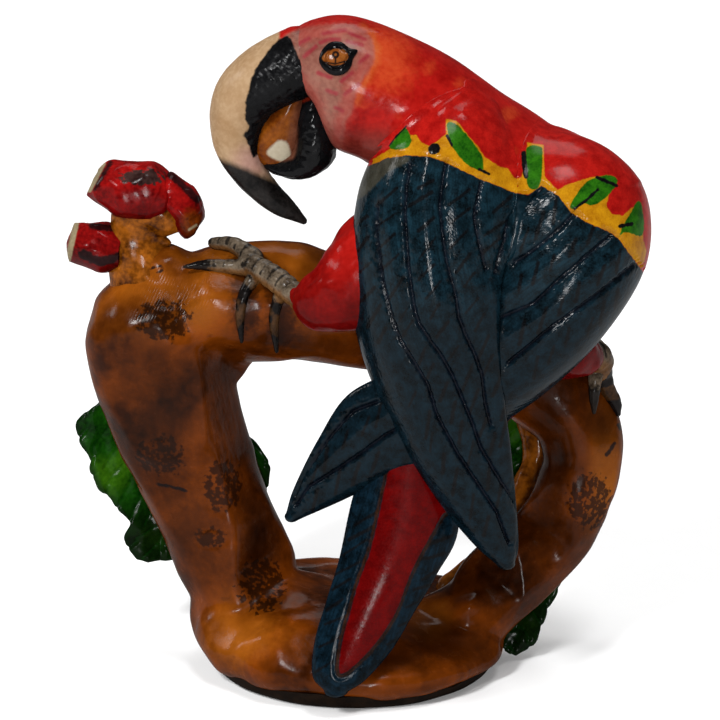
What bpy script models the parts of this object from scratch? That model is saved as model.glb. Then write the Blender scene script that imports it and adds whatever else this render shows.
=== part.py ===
"""Painted macaw on a looped branch: a small carved figurine, about 60 mm tall.

Frame: +Z is up, -Y is the side that shows the bird's back, +X is the bird's right wing.
The origin is the middle of the flat underside. Tables are in millimetres.

Most pieces are carved forms, lofted between a left edge and a right edge. A row of a form's table is
(left edge x, y, z), (right edge x, y, z), camber, thickness. The section is an ellipse as wide as the
two edges are apart and as deep as the thickness, bowed by the camber towards -Y.
Twigs and toes are tubes: a row of a tube's table is x, y, z, radius.
"""

import math

import bmesh
import bpy
from mathutils import Vector

MM = 0.001
SEAT_GAP = 0.1  # clearance where one piece sits in another
SKIN_THICKNESS = 1.1  # the nut's brown skin, left on under the stump
STUMP_Z = SKIN_THICKNESS + SEAT_GAP
SLIVER = 0.003  # detail finer than this, left by a cut, is merged away

COLOURS = {
    "scarlet": ((0.55, 0.012, 0.008), 0.28),
    "ivory": ((0.62, 0.42, 0.25), 0.35),
    "black_ink": ((0.008, 0.008, 0.009), 0.3),
    "blue_feather": ((0.008, 0.035, 0.06), 0.25),
    "grey_scale": ((0.17, 0.13, 0.1), 0.45),
    "amber_stain": ((0.42, 0.13, 0.01), 0.3),
    "leaf_green": ((0.01, 0.13, 0.015), 0.35),
    "brown_skin": ((0.02, 0.011, 0.007), 0.6),
}

# ---------------------------------------------------------------- the bird
BODY = [  # from the rump up the back, over the mantle and along the neck to the face
    ((9.0, -8.5, 21.5), (6.2, -9.0, 22.8), 0, 3.0),
    ((13.5, -8.0, 24.5), (4.8, -8.5, 27.0), 0, 7.5),
    ((19.0, -6.5, 29.5), (3.8, -7.0, 32.0), 0, 12.5),
    ((22.8, -5.0, 36.8), (3.8, -5.5, 37.5), 0, 15.2),
    ((23.6, -4.0, 42.8), (4.6, -4.5, 43.0), 0, 15.4),
    ((20.0, -3.5, 48.4), (5.5, -4.0, 45.6), 0, 14.4),
    ((14.3, -4.0, 52.7), (4.6, -4.5, 46.6), 0, 12.4),
    ((10.0, -4.5, 56.2), (3.2, -4.8, 47.2), 0, 11.6),
    ((5.2, -4.8, 58.8), (1.4, -5.0, 48.1), 0, 11.0),
    ((0.8, -5.0, 60.3), (-0.5, -5.0, 48.8), 0, 10.6),
    ((-2.5, -5.0, 59.9), (-1.3, -5.0, 50.4), 0, 9.2),
    ((-4.3, -5.0, 58.9), (-1.7, -5.0, 52.1), 0, 7.2),
    ((-4.9, -5.0, 58.1), (-2.3, -5.0, 53.3), 0, 6.0),
]
UPPER_BEAK = [  # from the brow along the hook to its tip; left is the culmen
    ((-4.2, -5.0, 59.2), (-1.7, -5.0, 53.8), 0, 6.8),
    ((-6.4, -5.0, 58.1), (-3.1, -5.0, 53.2), 0, 7.2),
    ((-8.6, -5.0, 56.6), (-4.6, -5.0, 52.5), 0, 7.0),
    ((-10.3, -5.0, 54.5), (-5.8, -5.0, 51.6), 0, 6.4),
    ((-11.0, -5.0, 52.0), (-6.5, -5.0, 50.3), 0, 5.8),
    ((-10.8, -5.0, 49.3), (-6.7, -5.0, 48.7), 0, 5.0),
    ((-9.8, -5.0, 47.0), (-6.4, -5.0, 47.3), 0, 4.2),
    ((-8.0, -5.0, 44.8), (-5.3, -5.0, 45.5), 0, 3.3),
    ((-5.7, -5.0, 43.0), (-4.0, -5.0, 44.0), 0, 2.2),
    ((-3.2, -5.0, 42.0), (-2.9, -5.0, 42.5), 0, 0.9),
]
LOWER_BEAK = [  # from under the cheek down and forward to its tip; left is the inside of the gape
    ((-3.3, -5.0, 53.1), (-1.3, -5.0, 53.2), 0, 3.5),
    ((-3.7, -5.0, 51.6), (-0.7, -5.0, 51.6), 0, 5.5),
    ((-3.9, -5.0, 50.2), (-0.4, -5.0, 50.0), 0, 6.2),
    ((-4.1, -5.0, 49.0), (-0.5, -5.0, 47.8), 0, 6.2),
    ((-4.7, -5.0, 48.3), (-2.3, -5.0, 46.4), 0, 5.6),
    ((-5.5, -5.0, 48.0), (-4.3, -5.0, 46.3), 0, 4.6),
    ((-6.3, -5.0, 48.0), (-6.0, -5.0, 46.8), 0, 3.0),
    ((-6.6, -5.0, 47.9), (-6.5, -5.0, 47.5), 0, 1.4),
]
TONGUE = [  # the amber form inside the gape
    ((-4.5, -3.4, 53.0), (-3.1, -3.4, 53.2), 0, 2.0),
    ((-5.7, -3.4, 51.9), (-3.5, -3.4, 51.5), 0, 2.6),
    ((-6.5, -3.5, 50.8), (-4.2, -3.5, 50.1), 0, 2.4),
    ((-6.8, -3.7, 49.6), (-5.2, -3.7, 49.1), 0, 2.0),
    ((-6.8, -3.8, 48.8), (-6.1, -3.8, 48.7), 0, 1.0),
]
WING_LEFT = [  # from the shoulder to the tip, lying over the right wing
    ((7.0, -6.0, 53.0), (12.5, -5.8, 53.6), 0.4, 2.0),
    ((4.0, -6.4, 50.4), (14.0, -8.5, 51.5), 2.2, 4.2),
    ((2.0, -6.5, 46.5), (14.6, -11.0, 47.8), 3.2, 5.0),
    ((1.2, -7.2, 42.5), (14.2, -12.8, 43.2), 3.4, 5.0),
    ((0.9, -8.0, 38.5), (13.6, -13.6, 39.0), 3.0, 4.5),
    ((1.4, -9.0, 33.8), (13.5, -14.0, 33.8), 2.4, 4.0),
    ((2.9, -10.0, 29.1), (14.0, -13.6, 28.6), 1.8, 3.4),
    ((5.2, -11.0, 24.4), (14.6, -13.0, 23.8), 1.4, 2.8),
    ((8.3, -11.5, 19.4), (15.1, -12.3, 18.6), 1.0, 2.3),
    ((11.4, -11.5, 15.4), (15.3, -11.7, 15.2), 0.5, 1.9),
    ((13.4, -11.5, 13.5), (15.0, -11.6, 13.7), 0.2, 1.3),
]
WING_RIGHT = [  # from the shoulder to the tip, crossing to the left under the other wing
    ((16.4, -4.5, 50.4), (21.9, -2.5, 47.2), 0.4, 2.2),
    ((14.8, -8.5, 49.2), (24.6, -2.0, 44.6), 2.0, 4.2),
    ((14.0, -11.0, 46.8), (26.1, -3.0, 41.8), 3.0, 5.0),
    ((13.4, -12.0, 42.5), (25.6, -5.0, 37.8), 3.2, 5.0),
    ((12.0, -12.2, 37.5), (22.1, -7.5, 32.8), 2.6, 4.4),
    ((9.1, -11.6, 33.0), (17.8, -9.0, 28.6), 1.8, 3.6),
    ((4.8, -10.6, 30.7), (13.9, -10.0, 25.8), 1.2, 3.0),
    ((0.6, -9.5, 28.1), (9.6, -10.2, 22.8), 1.0, 2.6),
    ((-2.0, -9.0, 23.8), (4.8, -9.6, 20.9), 0.8, 2.3),
    ((-4.0, -8.6, 19.4), (0.0, -8.9, 18.3), 0.5, 1.9),
    ((-4.7, -8.5, 17.0), (-3.6, -8.5, 16.5), 0.2, 1.3),
]
TAIL = [  # from under the wings down to the stump
    ((2.6, -8.6, 24.0), (9.4, -8.6, 23.6), 0.8, 3.0),
    ((1.0, -9.5, 18.6), (10.2, -9.5, 16.2), 0.9, 2.8),
    ((-0.1, -10.5, 13.6), (8.3, -10.5, 12.1), 0.8, 2.5),
    ((-1.2, -11.5, 10.1), (6.3, -11.5, 8.9), 0.7, 2.3),
    ((-2.2, -12.4, 6.8), (4.5, -12.4, 6.0), 0.6, 2.1),
    ((-2.4, -13.2, 3.9), (2.3, -13.2, 3.6), 0.4, 1.8),
    ((-1.4, -13.4, 2.6), (0.7, -13.4, 2.5), 0.2, 1.3),
]
THIGH_LEFT = [  # from the flank to the knee
    ((4.8, -6.5, 43.9), (5.3, -6.5, 33.4), 0, 8.0),
    ((1.2, -7.8, 43.4), (2.8, -8.0, 32.4), 0, 8.2),
    ((-0.9, -8.3, 40.7), (0.3, -8.4, 32.8), 0, 7.0),
    ((-2.2, -8.2, 39.0), (-1.5, -8.2, 33.3), 0, 5.6),
    ((-3.2, -7.8, 37.8), (-2.9, -7.7, 34.2), 0, 3.6),
    ((-3.7, -7.5, 37.0), (-3.6, -7.5, 35.4), 0, 1.8),
]
THIGH_RIGHT = [
    ((14.5, -4.5, 28.5), (15.5, -4.5, 36.5), 0, 8.0),
    ((17.5, -4.0, 28.0), (19.0, -4.0, 34.0), 0, 7.4),
    ((19.8, -3.0, 28.0), (21.4, -2.5, 31.2), 0, 5.0),
    ((21.0, -1.5, 28.0), (22.2, -1.0, 29.8), 0, 2.6),
    ((21.8, -1.0, 28.4), (22.2, -0.8, 29.0), 0, 1.2),
]
LEFT_TOES = {  # each toe starts in the ankle, so that they join into one foot
    "shank": [(-3.0, -7.2, 35.6, 1.2), (-5.4, -5.0, 37.0, 1.45), (-7.8, -2.7, 37.9, 1.3)],
    "side_toe": [
        (-7.2, -3.0, 37.8, 1.2),
        (-10.0, -2.4, 37.4, 1.1),
        (-12.2, -2.6, 37.1, 0.9),
        (-13.4, -2.9, 37.0, 0.6),
        (-14.5, -3.2, 36.7, 0.25),
    ],
    "top_toe": [(-7.4, -2.9, 37.8, 1.2), (-9.6, -1.0, 38.2, 1.0), (-11.8, 0.8, 38.0, 0.6)],
    "front_claw": [
        (-6.9, -3.2, 37.5, 1.0),
        (-8.2, -4.3, 35.6, 0.85),
        (-8.6, -4.5, 33.6, 0.7),
        (-8.5, -4.1, 31.2, 0.3),
    ],
    "inner_claw": [
        (-4.8, -5.6, 36.4, 1.0),
        (-5.4, -4.7, 34.8, 0.85),
        (-5.7, -4.3, 33.0, 0.7),
        (-5.5, -3.7, 30.2, 0.3),
    ],
}
RIGHT_TOES = {
    "shank": [(20.8, -1.8, 29.2, 1.3), (22.3, 0.0, 28.4, 1.5), (22.6, 0.6, 27.2, 1.4)],
    "front_claw": [
        (22.4, 0.4, 27.4, 1.3),
        (22.0, -0.8, 25.9, 1.0),
        (22.0, -1.2, 24.0, 0.8),
        (22.0, -1.2, 22.4, 0.35),
    ],
    "side_claw": [
        (22.8, 0.8, 27.2, 1.2),
        (23.3, 1.0, 25.4, 0.9),
        (24.1, 1.5, 23.8, 0.7),
        (24.4, 1.8, 22.6, 0.3),
    ],
    "back_toe": [(22.4, 0.6, 27.6, 1.3), (22.4, 3.6, 28.1, 1.0), (21.8, 6.2, 27.0, 0.5)],
}
FEET = {"foot_left": LEFT_TOES, "foot_right": RIGHT_TOES}

# ---------------------------------------------------------------- the branch
TRUNK = [  # from inside the stump up to the knob of the elbow
    (-7.0, -1.0, 4.6, 2.8),
    (-8.2, -0.6, 6.8, 4.8),
    (-9.9, 0.0, 9.4, 5.8),
    (-11.8, 0.4, 13.4, 5.9),
    (-13.2, 0.5, 18.2, 5.7),
    (-14.8, 0.5, 23.4, 5.8),
    (-15.7, 0.5, 27.8, 6.1),
    (-16.0, 0.5, 31.0, 6.1),
    (-15.6, 0.5, 33.8, 5.0),
    (-15.3, 0.5, 35.8, 3.0),
]
PERCH = [  # from the elbow across the top, then down the right arm into the stump
    (-14.0, 0.5, 31.4, 4.6),
    (-11.6, 0.5, 32.8, 4.9),
    (-8.2, 0.6, 33.4, 5.1),
    (-3.9, 1.0, 33.1, 5.1),
    (2.2, 2.0, 31.5, 4.6),
    (8.3, 3.3, 29.8, 4.5),
    (14.0, 3.8, 27.3, 4.3),
    (18.6, 3.4, 24.2, 4.1),
    (21.2, 2.8, 20.4, 3.8),
    (21.1, 2.0, 16.0, 3.7),
    (18.9, 1.0, 11.2, 3.8),
    (15.3, 0.0, 7.4, 4.0),
    (11.4, -1.0, 5.2, 3.4),
    (8.0, -1.3, 4.6, 2.2),
]
STUMP = [  # the foot of the branch, from the underside up
    ((12.8, 0, STUMP_Z), (-11.4, 0, STUMP_Z), 0, 23.4),
    ((13.8, 0, 2.4), (-12.8, 0, 2.4), 0, 25.4),
    ((13.4, 0, 3.6), (-13.3, 0, 4.4), 0, 24.4),
    ((10.5, 0, 4.9), (-12.5, 0, 6.4), 0, 20.0),
    ((5.0, 0, 6.1), (-8.0, 0, 7.7), 0, 12.0),
    ((1.5, 0, 6.8), (-4.5, 0, 8.0), 0, 5.0),
]
SKIN = [
    ((11.8, 0, 0), (-10.2, 0, 0), 0, 21.4),
    ((12.6, 0, 0.5), (-11.2, 0, 0.5), 0, 23.0),
    ((12.9, 0, SKIN_THICKNESS), (-11.5, 0, SKIN_THICKNESS), 0, 23.6),
]
VINE = [  # a thin stem behind the right arm, from the stump to the perch
    (10.0, 4.5, 4.6, 1.8),
    (13.4, 5.2, 7.8, 1.6),
    (16.2, 6.0, 12.6, 1.5),
    (17.6, 7.2, 17.2, 1.4),
    (16.6, 8.0, 21.2, 1.4),
    (14.0, 7.4, 25.4, 1.4),
    (12.4, 5.4, 28.0, 1.4),
]
LEAVES = {
    "leaf_left": [
        ((-17.2, 5.6, 24.6), (-14.0, 6.6, 25.0), -0.2, 1.2),
        ((-21.4, 5.0, 23.3), (-13.2, 7.2, 22.5), -0.8, 1.6),
        ((-23.6, 4.6, 20.2), (-12.6, 7.4, 19.0), -1.0, 1.8),
        ((-22.9, 4.6, 15.6), (-12.3, 7.2, 15.0), -1.0, 1.8),
        ((-20.6, 5.0, 12.0), (-12.3, 7.0, 11.5), -0.9, 1.7),
        ((-19.5, 5.2, 9.2), (-12.8, 6.6, 8.4), -0.7, 1.5),
        ((-18.0, 5.3, 6.9), (-14.6, 6.0, 6.8), -0.3, 1.1),
    ],
    "leaf_inner": [
        ((-10.6, 6.2, 19.0), (-9.0, 5.9, 19.6), -0.1, 1.0),
        ((-11.0, 6.4, 17.0), (-6.9, 5.2, 18.0), -0.3, 1.3),
        ((-10.8, 6.4, 14.8), (-6.3, 5.0, 15.6), -0.4, 1.4),
        ((-10.4, 6.2, 12.8), (-6.9, 5.0, 13.4), -0.3, 1.2),
        ((-9.6, 5.8, 11.4), (-8.0, 5.3, 11.6), -0.1, 0.9),
    ],
    "leaf_right_upper": [
        ((15.6, 8.4, 21.6), (18.0, 8.6, 21.8), -0.2, 1.1),
        ((14.4, 8.6, 19.0), (20.6, 8.8, 19.4), -0.7, 1.5),
        ((13.8, 8.6, 15.6), (21.4, 8.6, 15.8), -0.8, 1.6),
        ((13.6, 8.4, 12.4), (20.0, 8.4, 12.2), -0.7, 1.5),
        ((14.4, 8.0, 9.6), (17.6, 8.0, 9.2), -0.3, 1.1),
    ],
    "leaf_right_lower": [
        ((17.6, 3.6, 8.6), (19.6, 3.4, 7.6), -0.1, 1.0),
        ((15.8, 3.6, 6.6), (18.9, 2.6, 5.2), -0.3, 1.3),
        ((14.6, 2.8, 4.6), (17.8, 1.8, 3.2), -0.4, 1.4),
        ((14.3, 1.4, 2.9), (17.0, 0.6, 1.2), -0.3, 1.2),
        ((14.3, 0.6, 1.5), (15.6, 0.2, 0.6), -0.1, 0.8),
    ],
}
FLOWER_STALK = [
    ((-13.7, 0.5, 35.8), (-20.0, 0.5, 33.0), 0, 6.0),
    ((-15.3, 0.5, 38.4), (-20.0, 0.5, 37.0), 0, 4.2),
    ((-15.9, 0.5, 40.0), (-19.9, 0.5, 39.4), 0, 3.6),
    ((-15.3, 0.5, 42.0), (-19.7, 0.5, 42.0), 0, 3.4),
    ((-16.1, 0.5, 43.4), (-19.1, 0.5, 43.4), 0, 2.4),
]
BRACTS = {
    "bract_upper": [
        ((-21.8, 0.5, 43.1), (-21.3, 0.5, 44.4), 0, 2.5),
        ((-20.9, 0.5, 42.4), (-20.1, 0.5, 45.8), 0, 4.2),
        ((-19.3, 0.5, 41.2), (-18.5, 0.5, 45.8), 0, 5.4),
        ((-17.1, 0.5, 40.6), (-16.7, 0.5, 45.9), 0, 5.6),
        ((-15.3, 0.5, 41.2), (-15.3, 0.5, 45.4), 0, 4.8),
        ((-14.6, 0.5, 42.0), (-14.6, 0.5, 44.4), 0, 3.4),
    ],
    "bract_right": [
        ((-15.9, 0.3, 42.4), (-14.3, 0.3, 45.0), 0, 3.6),
        ((-14.7, 0.3, 41.0), (-12.5, 0.3, 43.4), 0, 4.6),
        ((-14.1, 0.3, 40.0), (-11.9, 0.3, 41.7), 0, 4.6),
        ((-13.6, 0.3, 39.4), (-12.1, 0.3, 40.4), 0, 3.2),
        ((-13.4, 0.3, 39.3), (-12.6, 0.3, 39.7), 0, 1.8),
    ],
    "bract_lower": [
        ((-18.9, 0.5, 39.8), (-19.3, 0.5, 36.4), 0, 4.2),
        ((-20.3, 0.5, 40.4), (-20.6, 0.5, 36.1), 0, 4.8),
        ((-22.0, 0.5, 40.5), (-22.3, 0.5, 36.5), 0, 4.4),
        ((-23.0, 0.5, 40.4), (-23.6, 0.5, 37.1), 0, 3.4),
    ],
}
# Which piece is let into which: the first is cut back around each of the others.
SEATS = {
    "upper_beak": ["lower_beak"],
    "tongue": ["upper_beak", "lower_beak"],
    "wing_right": ["wing_left"],
    "thigh_left": ["wing_left", "wing_right"],
    "thigh_right": ["wing_right"],
    "tail": ["wing_left", "wing_right"],
    "foot_left": ["thigh_left"],
    "foot_right": ["thigh_right"],
    "branch": ["foot_left", "foot_right", "thigh_left", "thigh_right", "tail"],
    "body": [
        "branch",
        "upper_beak",
        "lower_beak",
        "tongue",
        "wing_left",
        "wing_right",
        "thigh_left",
        "thigh_right",
        "tail",
    ],
    "vine": ["branch"],
    "leaf_left": ["branch"],
    "leaf_inner": ["branch", "leaf_left"],
    "leaf_right_upper": ["branch", "vine"],
    "leaf_right_lower": ["branch", "vine"],
    "flower_stalk": ["branch"],
    "bract_upper": ["flower_stalk"],
    "bract_right": ["flower_stalk", "bract_upper"],
    "bract_lower": ["flower_stalk", "bract_upper"],
}


def clear_scene():
    for obj in list(bpy.data.objects):
        bpy.data.objects.remove(obj, do_unlink=True)


def new_collection(name):
    collection = bpy.data.collections.new(name)
    bpy.context.scene.collection.children.link(collection)
    return collection


def make_material(name):
    colour, roughness = COLOURS[name]
    material = bpy.data.materials.get(name) or bpy.data.materials.new(name)
    material.use_nodes = True
    shader = material.node_tree.nodes["Principled BSDF"]
    shader.inputs["Base Color"].default_value = (*colour, 1)
    shader.inputs["Roughness"].default_value = roughness
    shader.inputs["Metallic"].default_value = 0.0
    return material


def add_object(name, mesh, collection, finish):
    obj = bpy.data.objects.new(name, mesh)
    collection.objects.link(obj)
    mesh.materials.clear()
    mesh.materials.append(make_material(finish))
    return obj


def along(rows, t):
    """The point at t, from 0 to 1, of a smooth curve through rows of numbers (Catmull-Rom)."""
    last = len(rows) - 1
    i = min(int(t * last), last - 1)
    u = t * last - i
    before = rows[i - 1] if i else [2 * a - b for a, b in zip(rows[0], rows[1])]
    after = rows[i + 2] if i + 2 <= last else [2 * a - b for a, b in zip(rows[-1], rows[-2])]
    return [
        0.5 * (2 * b + (c - a) * u + (2 * a - 5 * b + 4 * c - d) * u**2 + (3 * b - a - 3 * c + d) * u**3)
        for a, b, c, d in zip(before, rows[i], rows[i + 1], after)
    ]


def carved_form(name, table, collection, finish, rings=15, sides=16):
    """A closed form lofted through the elliptical sections of a table."""
    rows = [[*left, *right, camber, thickness] for left, right, camber, thickness in table]
    eased = [(1 - math.cos(math.pi * i / (rings - 1))) / 2 for i in range(rings)]
    samples = [along(rows, t) for t in eased]
    centres = [(Vector(s[0:3]) + Vector(s[3:6])) / 2 for s in samples]
    bm = bmesh.new()
    loops = []
    for i, (*edges, camber, thickness) in enumerate(samples):
        half = (Vector(edges[3:6]) - Vector(edges[0:3])) / 2
        heading = centres[min(i + 1, rings - 1)] - centres[max(i - 1, 0)]
        outward = heading.cross(half).normalized()
        loop = []
        for k in range(sides):
            angle = 2 * math.pi * k / sides
            across = math.cos(angle)
            depth = camber * (1 - across**2) + thickness / 2 * math.sin(angle)
            loop.append(bm.verts.new((centres[i] + half * across + outward * depth) * MM))
        loops.append(loop)
    for first, second in zip(loops, loops[1:]):
        for k in range(sides):
            bm.faces.new((first[k], first[k - 1], second[k - 1], second[k]))
    bm.faces.new(loops[0])
    bm.faces.new(loops[-1])
    bmesh.ops.recalc_face_normals(bm, faces=bm.faces)
    mesh = bpy.data.meshes.new(name)
    bm.to_mesh(mesh)
    bm.free()
    mesh.shade_smooth()
    return add_object(name, mesh, collection, finish)


def baked(obj):
    """obj as a plain mesh object: its curve bevel or its modifiers become faces, and welded caps."""
    graph = bpy.context.evaluated_depsgraph_get()
    mesh = bpy.data.meshes.new_from_object(obj.evaluated_get(graph))
    bm = bmesh.new()
    bm.from_mesh(mesh)
    bmesh.ops.remove_doubles(bm, verts=bm.verts, dist=SLIVER * MM)
    bm.to_mesh(mesh)
    bm.free()
    name, collection, matrix = obj.name, obj.users_collection[0], obj.matrix_world.copy()
    finish = obj.data.materials[0].name
    bpy.data.objects.remove(obj, do_unlink=True)
    solid = add_object(name, mesh, collection, finish)
    solid.matrix_world = matrix
    return solid


def tube(name, table, collection, finish, points, bevel_resolution=2, swell=0.0):
    """A round, tapering stem through the rows of a table, as a mesh, thicker all over by swell."""
    curve = bpy.data.curves.new(name, "CURVE")
    curve.dimensions = "3D"
    curve.bevel_depth = MM
    curve.bevel_resolution = bevel_resolution
    curve.use_fill_caps = True
    spline = curve.splines.new("POLY")
    spline.points.add(points - 1)
    for i, point in enumerate(spline.points):
        x, y, z, radius = along(table, i / (points - 1))
        point.co = (x * MM, y * MM, z * MM, 1)
        point.radius = radius + swell
    return baked(add_object(name, curve, collection, finish))


def boolean(target, tool, operation):
    modifier = target.modifiers.new(operation.lower(), "BOOLEAN")
    modifier.operation = operation
    modifier.object = tool
    solid = baked(target)
    bpy.data.objects.remove(tool, do_unlink=True)
    return solid


def as_cutter(obj):
    obj.hide_render = True
    obj.display_type = "WIRE"
    return obj


def seat_cutter(obj, collection):
    """A copy of obj whose surface stands out by the clearance, to cut the seat it sits in."""
    if obj.name in FEET:
        return as_cutter(foot(f"{obj.name}_seat", FEET[obj.name], collection, swell=SEAT_GAP))
    mesh = obj.data.copy()
    bm = bmesh.new()
    bm.from_mesh(mesh)
    bm.normal_update()
    for vert in bm.verts:
        vert.co += vert.normal * SEAT_GAP * MM
    bm.to_mesh(mesh)
    bm.free()
    copy = bpy.data.objects.new(obj.name + "_seat", mesh)
    collection.objects.link(copy)
    return as_cutter(copy)


def keep_largest_body(obj):
    """Drops the chips that a cut leaves beside the piece."""
    bm = bmesh.new()
    bm.from_mesh(obj.data)
    bodies = []
    left = set(bm.verts)
    while left:
        found, front = set(), [left.pop()]
        while front:
            vert = front.pop()
            found.add(vert)
            for edge in vert.link_edges:
                other = edge.other_vert(vert)
                if other in left:
                    left.discard(other)
                    front.append(other)
        bodies.append(found)
    bodies.sort(key=len)
    chips = [vert for body in bodies[:-1] for vert in body]
    bmesh.ops.delete(bm, geom=chips, context="VERTS")
    bm.to_mesh(obj.data)
    bm.free()


def foot(name, toes, collection, swell=0.0):
    """The toes of a foot, which start in one ankle, joined into a single solid."""
    solid = None
    for toe, table in toes.items():
        part = tube(f"{name}_{toe}", table, collection, "grey_scale", 9, swell=swell)
        solid = boolean(solid, part, "UNION") if solid else part
    solid.name = name
    return solid


def make_bird(collection):
    carved_form("body", BODY, collection, "scarlet", rings=30, sides=24)
    carved_form("upper_beak", UPPER_BEAK, collection, "ivory", rings=18)
    carved_form("lower_beak", LOWER_BEAK, collection, "black_ink", rings=14, sides=14)
    carved_form("tongue", TONGUE, collection, "amber_stain", rings=8, sides=10)
    carved_form("wing_left", WING_LEFT, collection, "blue_feather", rings=22, sides=20)
    carved_form("wing_right", WING_RIGHT, collection, "blue_feather", rings=22, sides=20)
    carved_form("tail", TAIL, collection, "blue_feather", rings=14)
    carved_form("thigh_left", THIGH_LEFT, collection, "scarlet", rings=12)
    carved_form("thigh_right", THIGH_RIGHT, collection, "scarlet", rings=10)
    for name, toes in FEET.items():
        foot(name, toes, collection)


def make_branch(collection):
    branch = tube("branch", TRUNK, collection, "amber_stain", 24, bevel_resolution=6)
    perch = tube("perch", PERCH, collection, "amber_stain", 48, bevel_resolution=5)
    stump = carved_form("stump", STUMP, collection, "amber_stain", rings=10, sides=32)
    for part in (perch, stump):
        branch = boolean(branch, part, "UNION")
    carved_form("nut_skin", SKIN, collection, "brown_skin", rings=4, sides=32)
    tube("vine", VINE, collection, "amber_stain", 18, bevel_resolution=3)
    for name, table in LEAVES.items():
        carved_form(name, table, collection, "leaf_green", rings=12, sides=14)
    carved_form("flower_stalk", FLOWER_STALK, collection, "amber_stain", rings=9, sides=14)
    for name, table in BRACTS.items():
        carved_form(name, table, collection, "scarlet", rings=10, sides=14)


def seat_pieces(collection, cutters):
    """Cuts each piece back around its neighbours, so that no two overlap."""
    for name, neighbours in SEATS.items():
        for neighbour in neighbours:
            cutter = seat_cutter(collection.objects[neighbour], cutters)
            boolean(collection.objects[name], cutter, "DIFFERENCE")
        keep_largest_body(collection.objects[name])


def main():
    clear_scene()
    figurine = new_collection("macaw_figurine")
    cutters = new_collection("cutters")
    make_bird(figurine)
    make_branch(figurine)
    seat_pieces(figurine, cutters)


main()
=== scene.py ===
"""The looks of the painted macaw figurine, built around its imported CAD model.

Each visible piece is made again from the table of its CAD node, with a much finer mesh, then carved
(grooves, knife facets, knots) and painted. Tables are in millimetres in the frame of the CAD model.

Paint and grooves are drawn on a sheet: a plane through the middle of the object, square to the
direction the bird's back is seen from. A point of the sheet is (mm to the right, mm up). Each piece
stores, per vertex, its distance to the outlines drawn there, and its material paints from those.
"""

import math

import bpy
import numpy as np
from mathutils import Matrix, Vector
from mathutils.bvhtree import BVHTree
from mathutils.kdtree import KDTree


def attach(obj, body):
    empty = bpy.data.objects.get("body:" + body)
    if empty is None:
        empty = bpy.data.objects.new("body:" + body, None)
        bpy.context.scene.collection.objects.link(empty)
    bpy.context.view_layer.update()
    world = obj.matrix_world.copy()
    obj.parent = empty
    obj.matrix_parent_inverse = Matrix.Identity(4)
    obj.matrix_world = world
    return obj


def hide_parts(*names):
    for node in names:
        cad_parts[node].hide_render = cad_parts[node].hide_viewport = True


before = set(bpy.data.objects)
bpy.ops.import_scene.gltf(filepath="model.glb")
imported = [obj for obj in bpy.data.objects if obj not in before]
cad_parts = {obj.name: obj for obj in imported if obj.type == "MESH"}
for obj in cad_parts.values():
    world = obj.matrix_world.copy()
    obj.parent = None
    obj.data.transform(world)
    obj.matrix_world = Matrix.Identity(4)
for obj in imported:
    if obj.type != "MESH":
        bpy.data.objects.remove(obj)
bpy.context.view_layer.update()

MM = 0.001
FAR = 50.0  # a distance that no outline reaches

# ---------------------------------------------------------------- the camera and the drawing sheet
ELEVATION = math.radians(18)
DISTANCE = 420.0
FIELD = 62.0
TARGET = np.array((1.7, -5.0, 29.79))
SHEET_ORIGIN = np.array((1.7, 26.78))  # the sheet's coordinates at the target
FORWARD = np.array((0.0, math.cos(ELEVATION), -math.sin(ELEVATION)))
UP = np.array((0.0, math.sin(ELEVATION), math.cos(ELEVATION)))
EYE = TARGET - FORWARD * DISTANCE


PAINT_LEVEL = 0.5  # paint is mixed this much darker than it shows, because the studio light brightens it


def shade(red, green, blue):
    """The linear paint that shows as these 8-bit screen values where the light falls on it."""
    return tuple(
        PAINT_LEVEL * (c / 12.92 if c <= 0.04045 else ((c + 0.055) / 1.055) ** 2.4)
        for c in (red / 255, green / 255, blue / 255)
    )


def at_depth(y, rows):
    """Sections that are not cambered and lie at one depth: (left x, left z, right x, right z, thickness)."""
    return [((x0, y, z0), (x1, y, z1), 0, thickness) for x0, z0, x1, z1, thickness in rows]


# ---------------------------------------------------------------- the bird's forms
BODY = [
    ((9.0, -8.5, 21.5), (6.2, -9.0, 22.8), 0, 3.0),
    ((13.5, -8.0, 24.5), (4.8, -8.5, 27.0), 0, 7.5),
    ((19.0, -6.5, 29.5), (3.8, -7.0, 32.0), 0, 12.5),
    ((22.8, -5.0, 36.8), (3.8, -5.5, 37.5), 0, 15.2),
    ((23.6, -4.0, 42.8), (4.6, -4.5, 43.0), 0, 15.4),
    ((20.0, -3.5, 48.4), (5.5, -4.0, 45.6), 0, 14.4),
    ((14.3, -4.0, 52.7), (4.6, -4.5, 46.6), 0, 12.4),
    ((10.0, -4.5, 56.2), (3.2, -4.8, 47.2), 0, 11.6),
    ((5.2, -4.8, 58.8), (1.4, -5.0, 48.1), 0, 11.0),
    ((0.8, -5.0, 60.3), (-0.5, -5.0, 48.8), 0, 10.6),
    ((-2.5, -5.0, 59.9), (-1.3, -5.0, 50.4), 0, 9.2),
    ((-4.3, -5.0, 58.9), (-1.7, -5.0, 52.1), 0, 7.2),
    ((-4.9, -5.0, 58.1), (-2.3, -5.0, 53.3), 0, 6.0),
]
UPPER_BEAK = at_depth(-5.0, [
    (-4.2, 59.2, -1.7, 53.8, 6.8), (-6.4, 58.1, -3.1, 53.2, 7.2), (-8.6, 56.6, -4.6, 52.5, 7.0),
    (-10.3, 54.5, -5.8, 51.6, 6.4), (-11.0, 52.0, -6.5, 50.3, 5.8), (-10.8, 49.3, -6.7, 48.7, 5.0),
    (-9.8, 47.0, -6.4, 47.3, 4.2), (-8.0, 44.8, -5.3, 45.5, 3.3), (-5.7, 43.0, -4.0, 44.0, 2.2),
    (-3.2, 42.0, -2.9, 42.5, 0.9),
])
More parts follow.
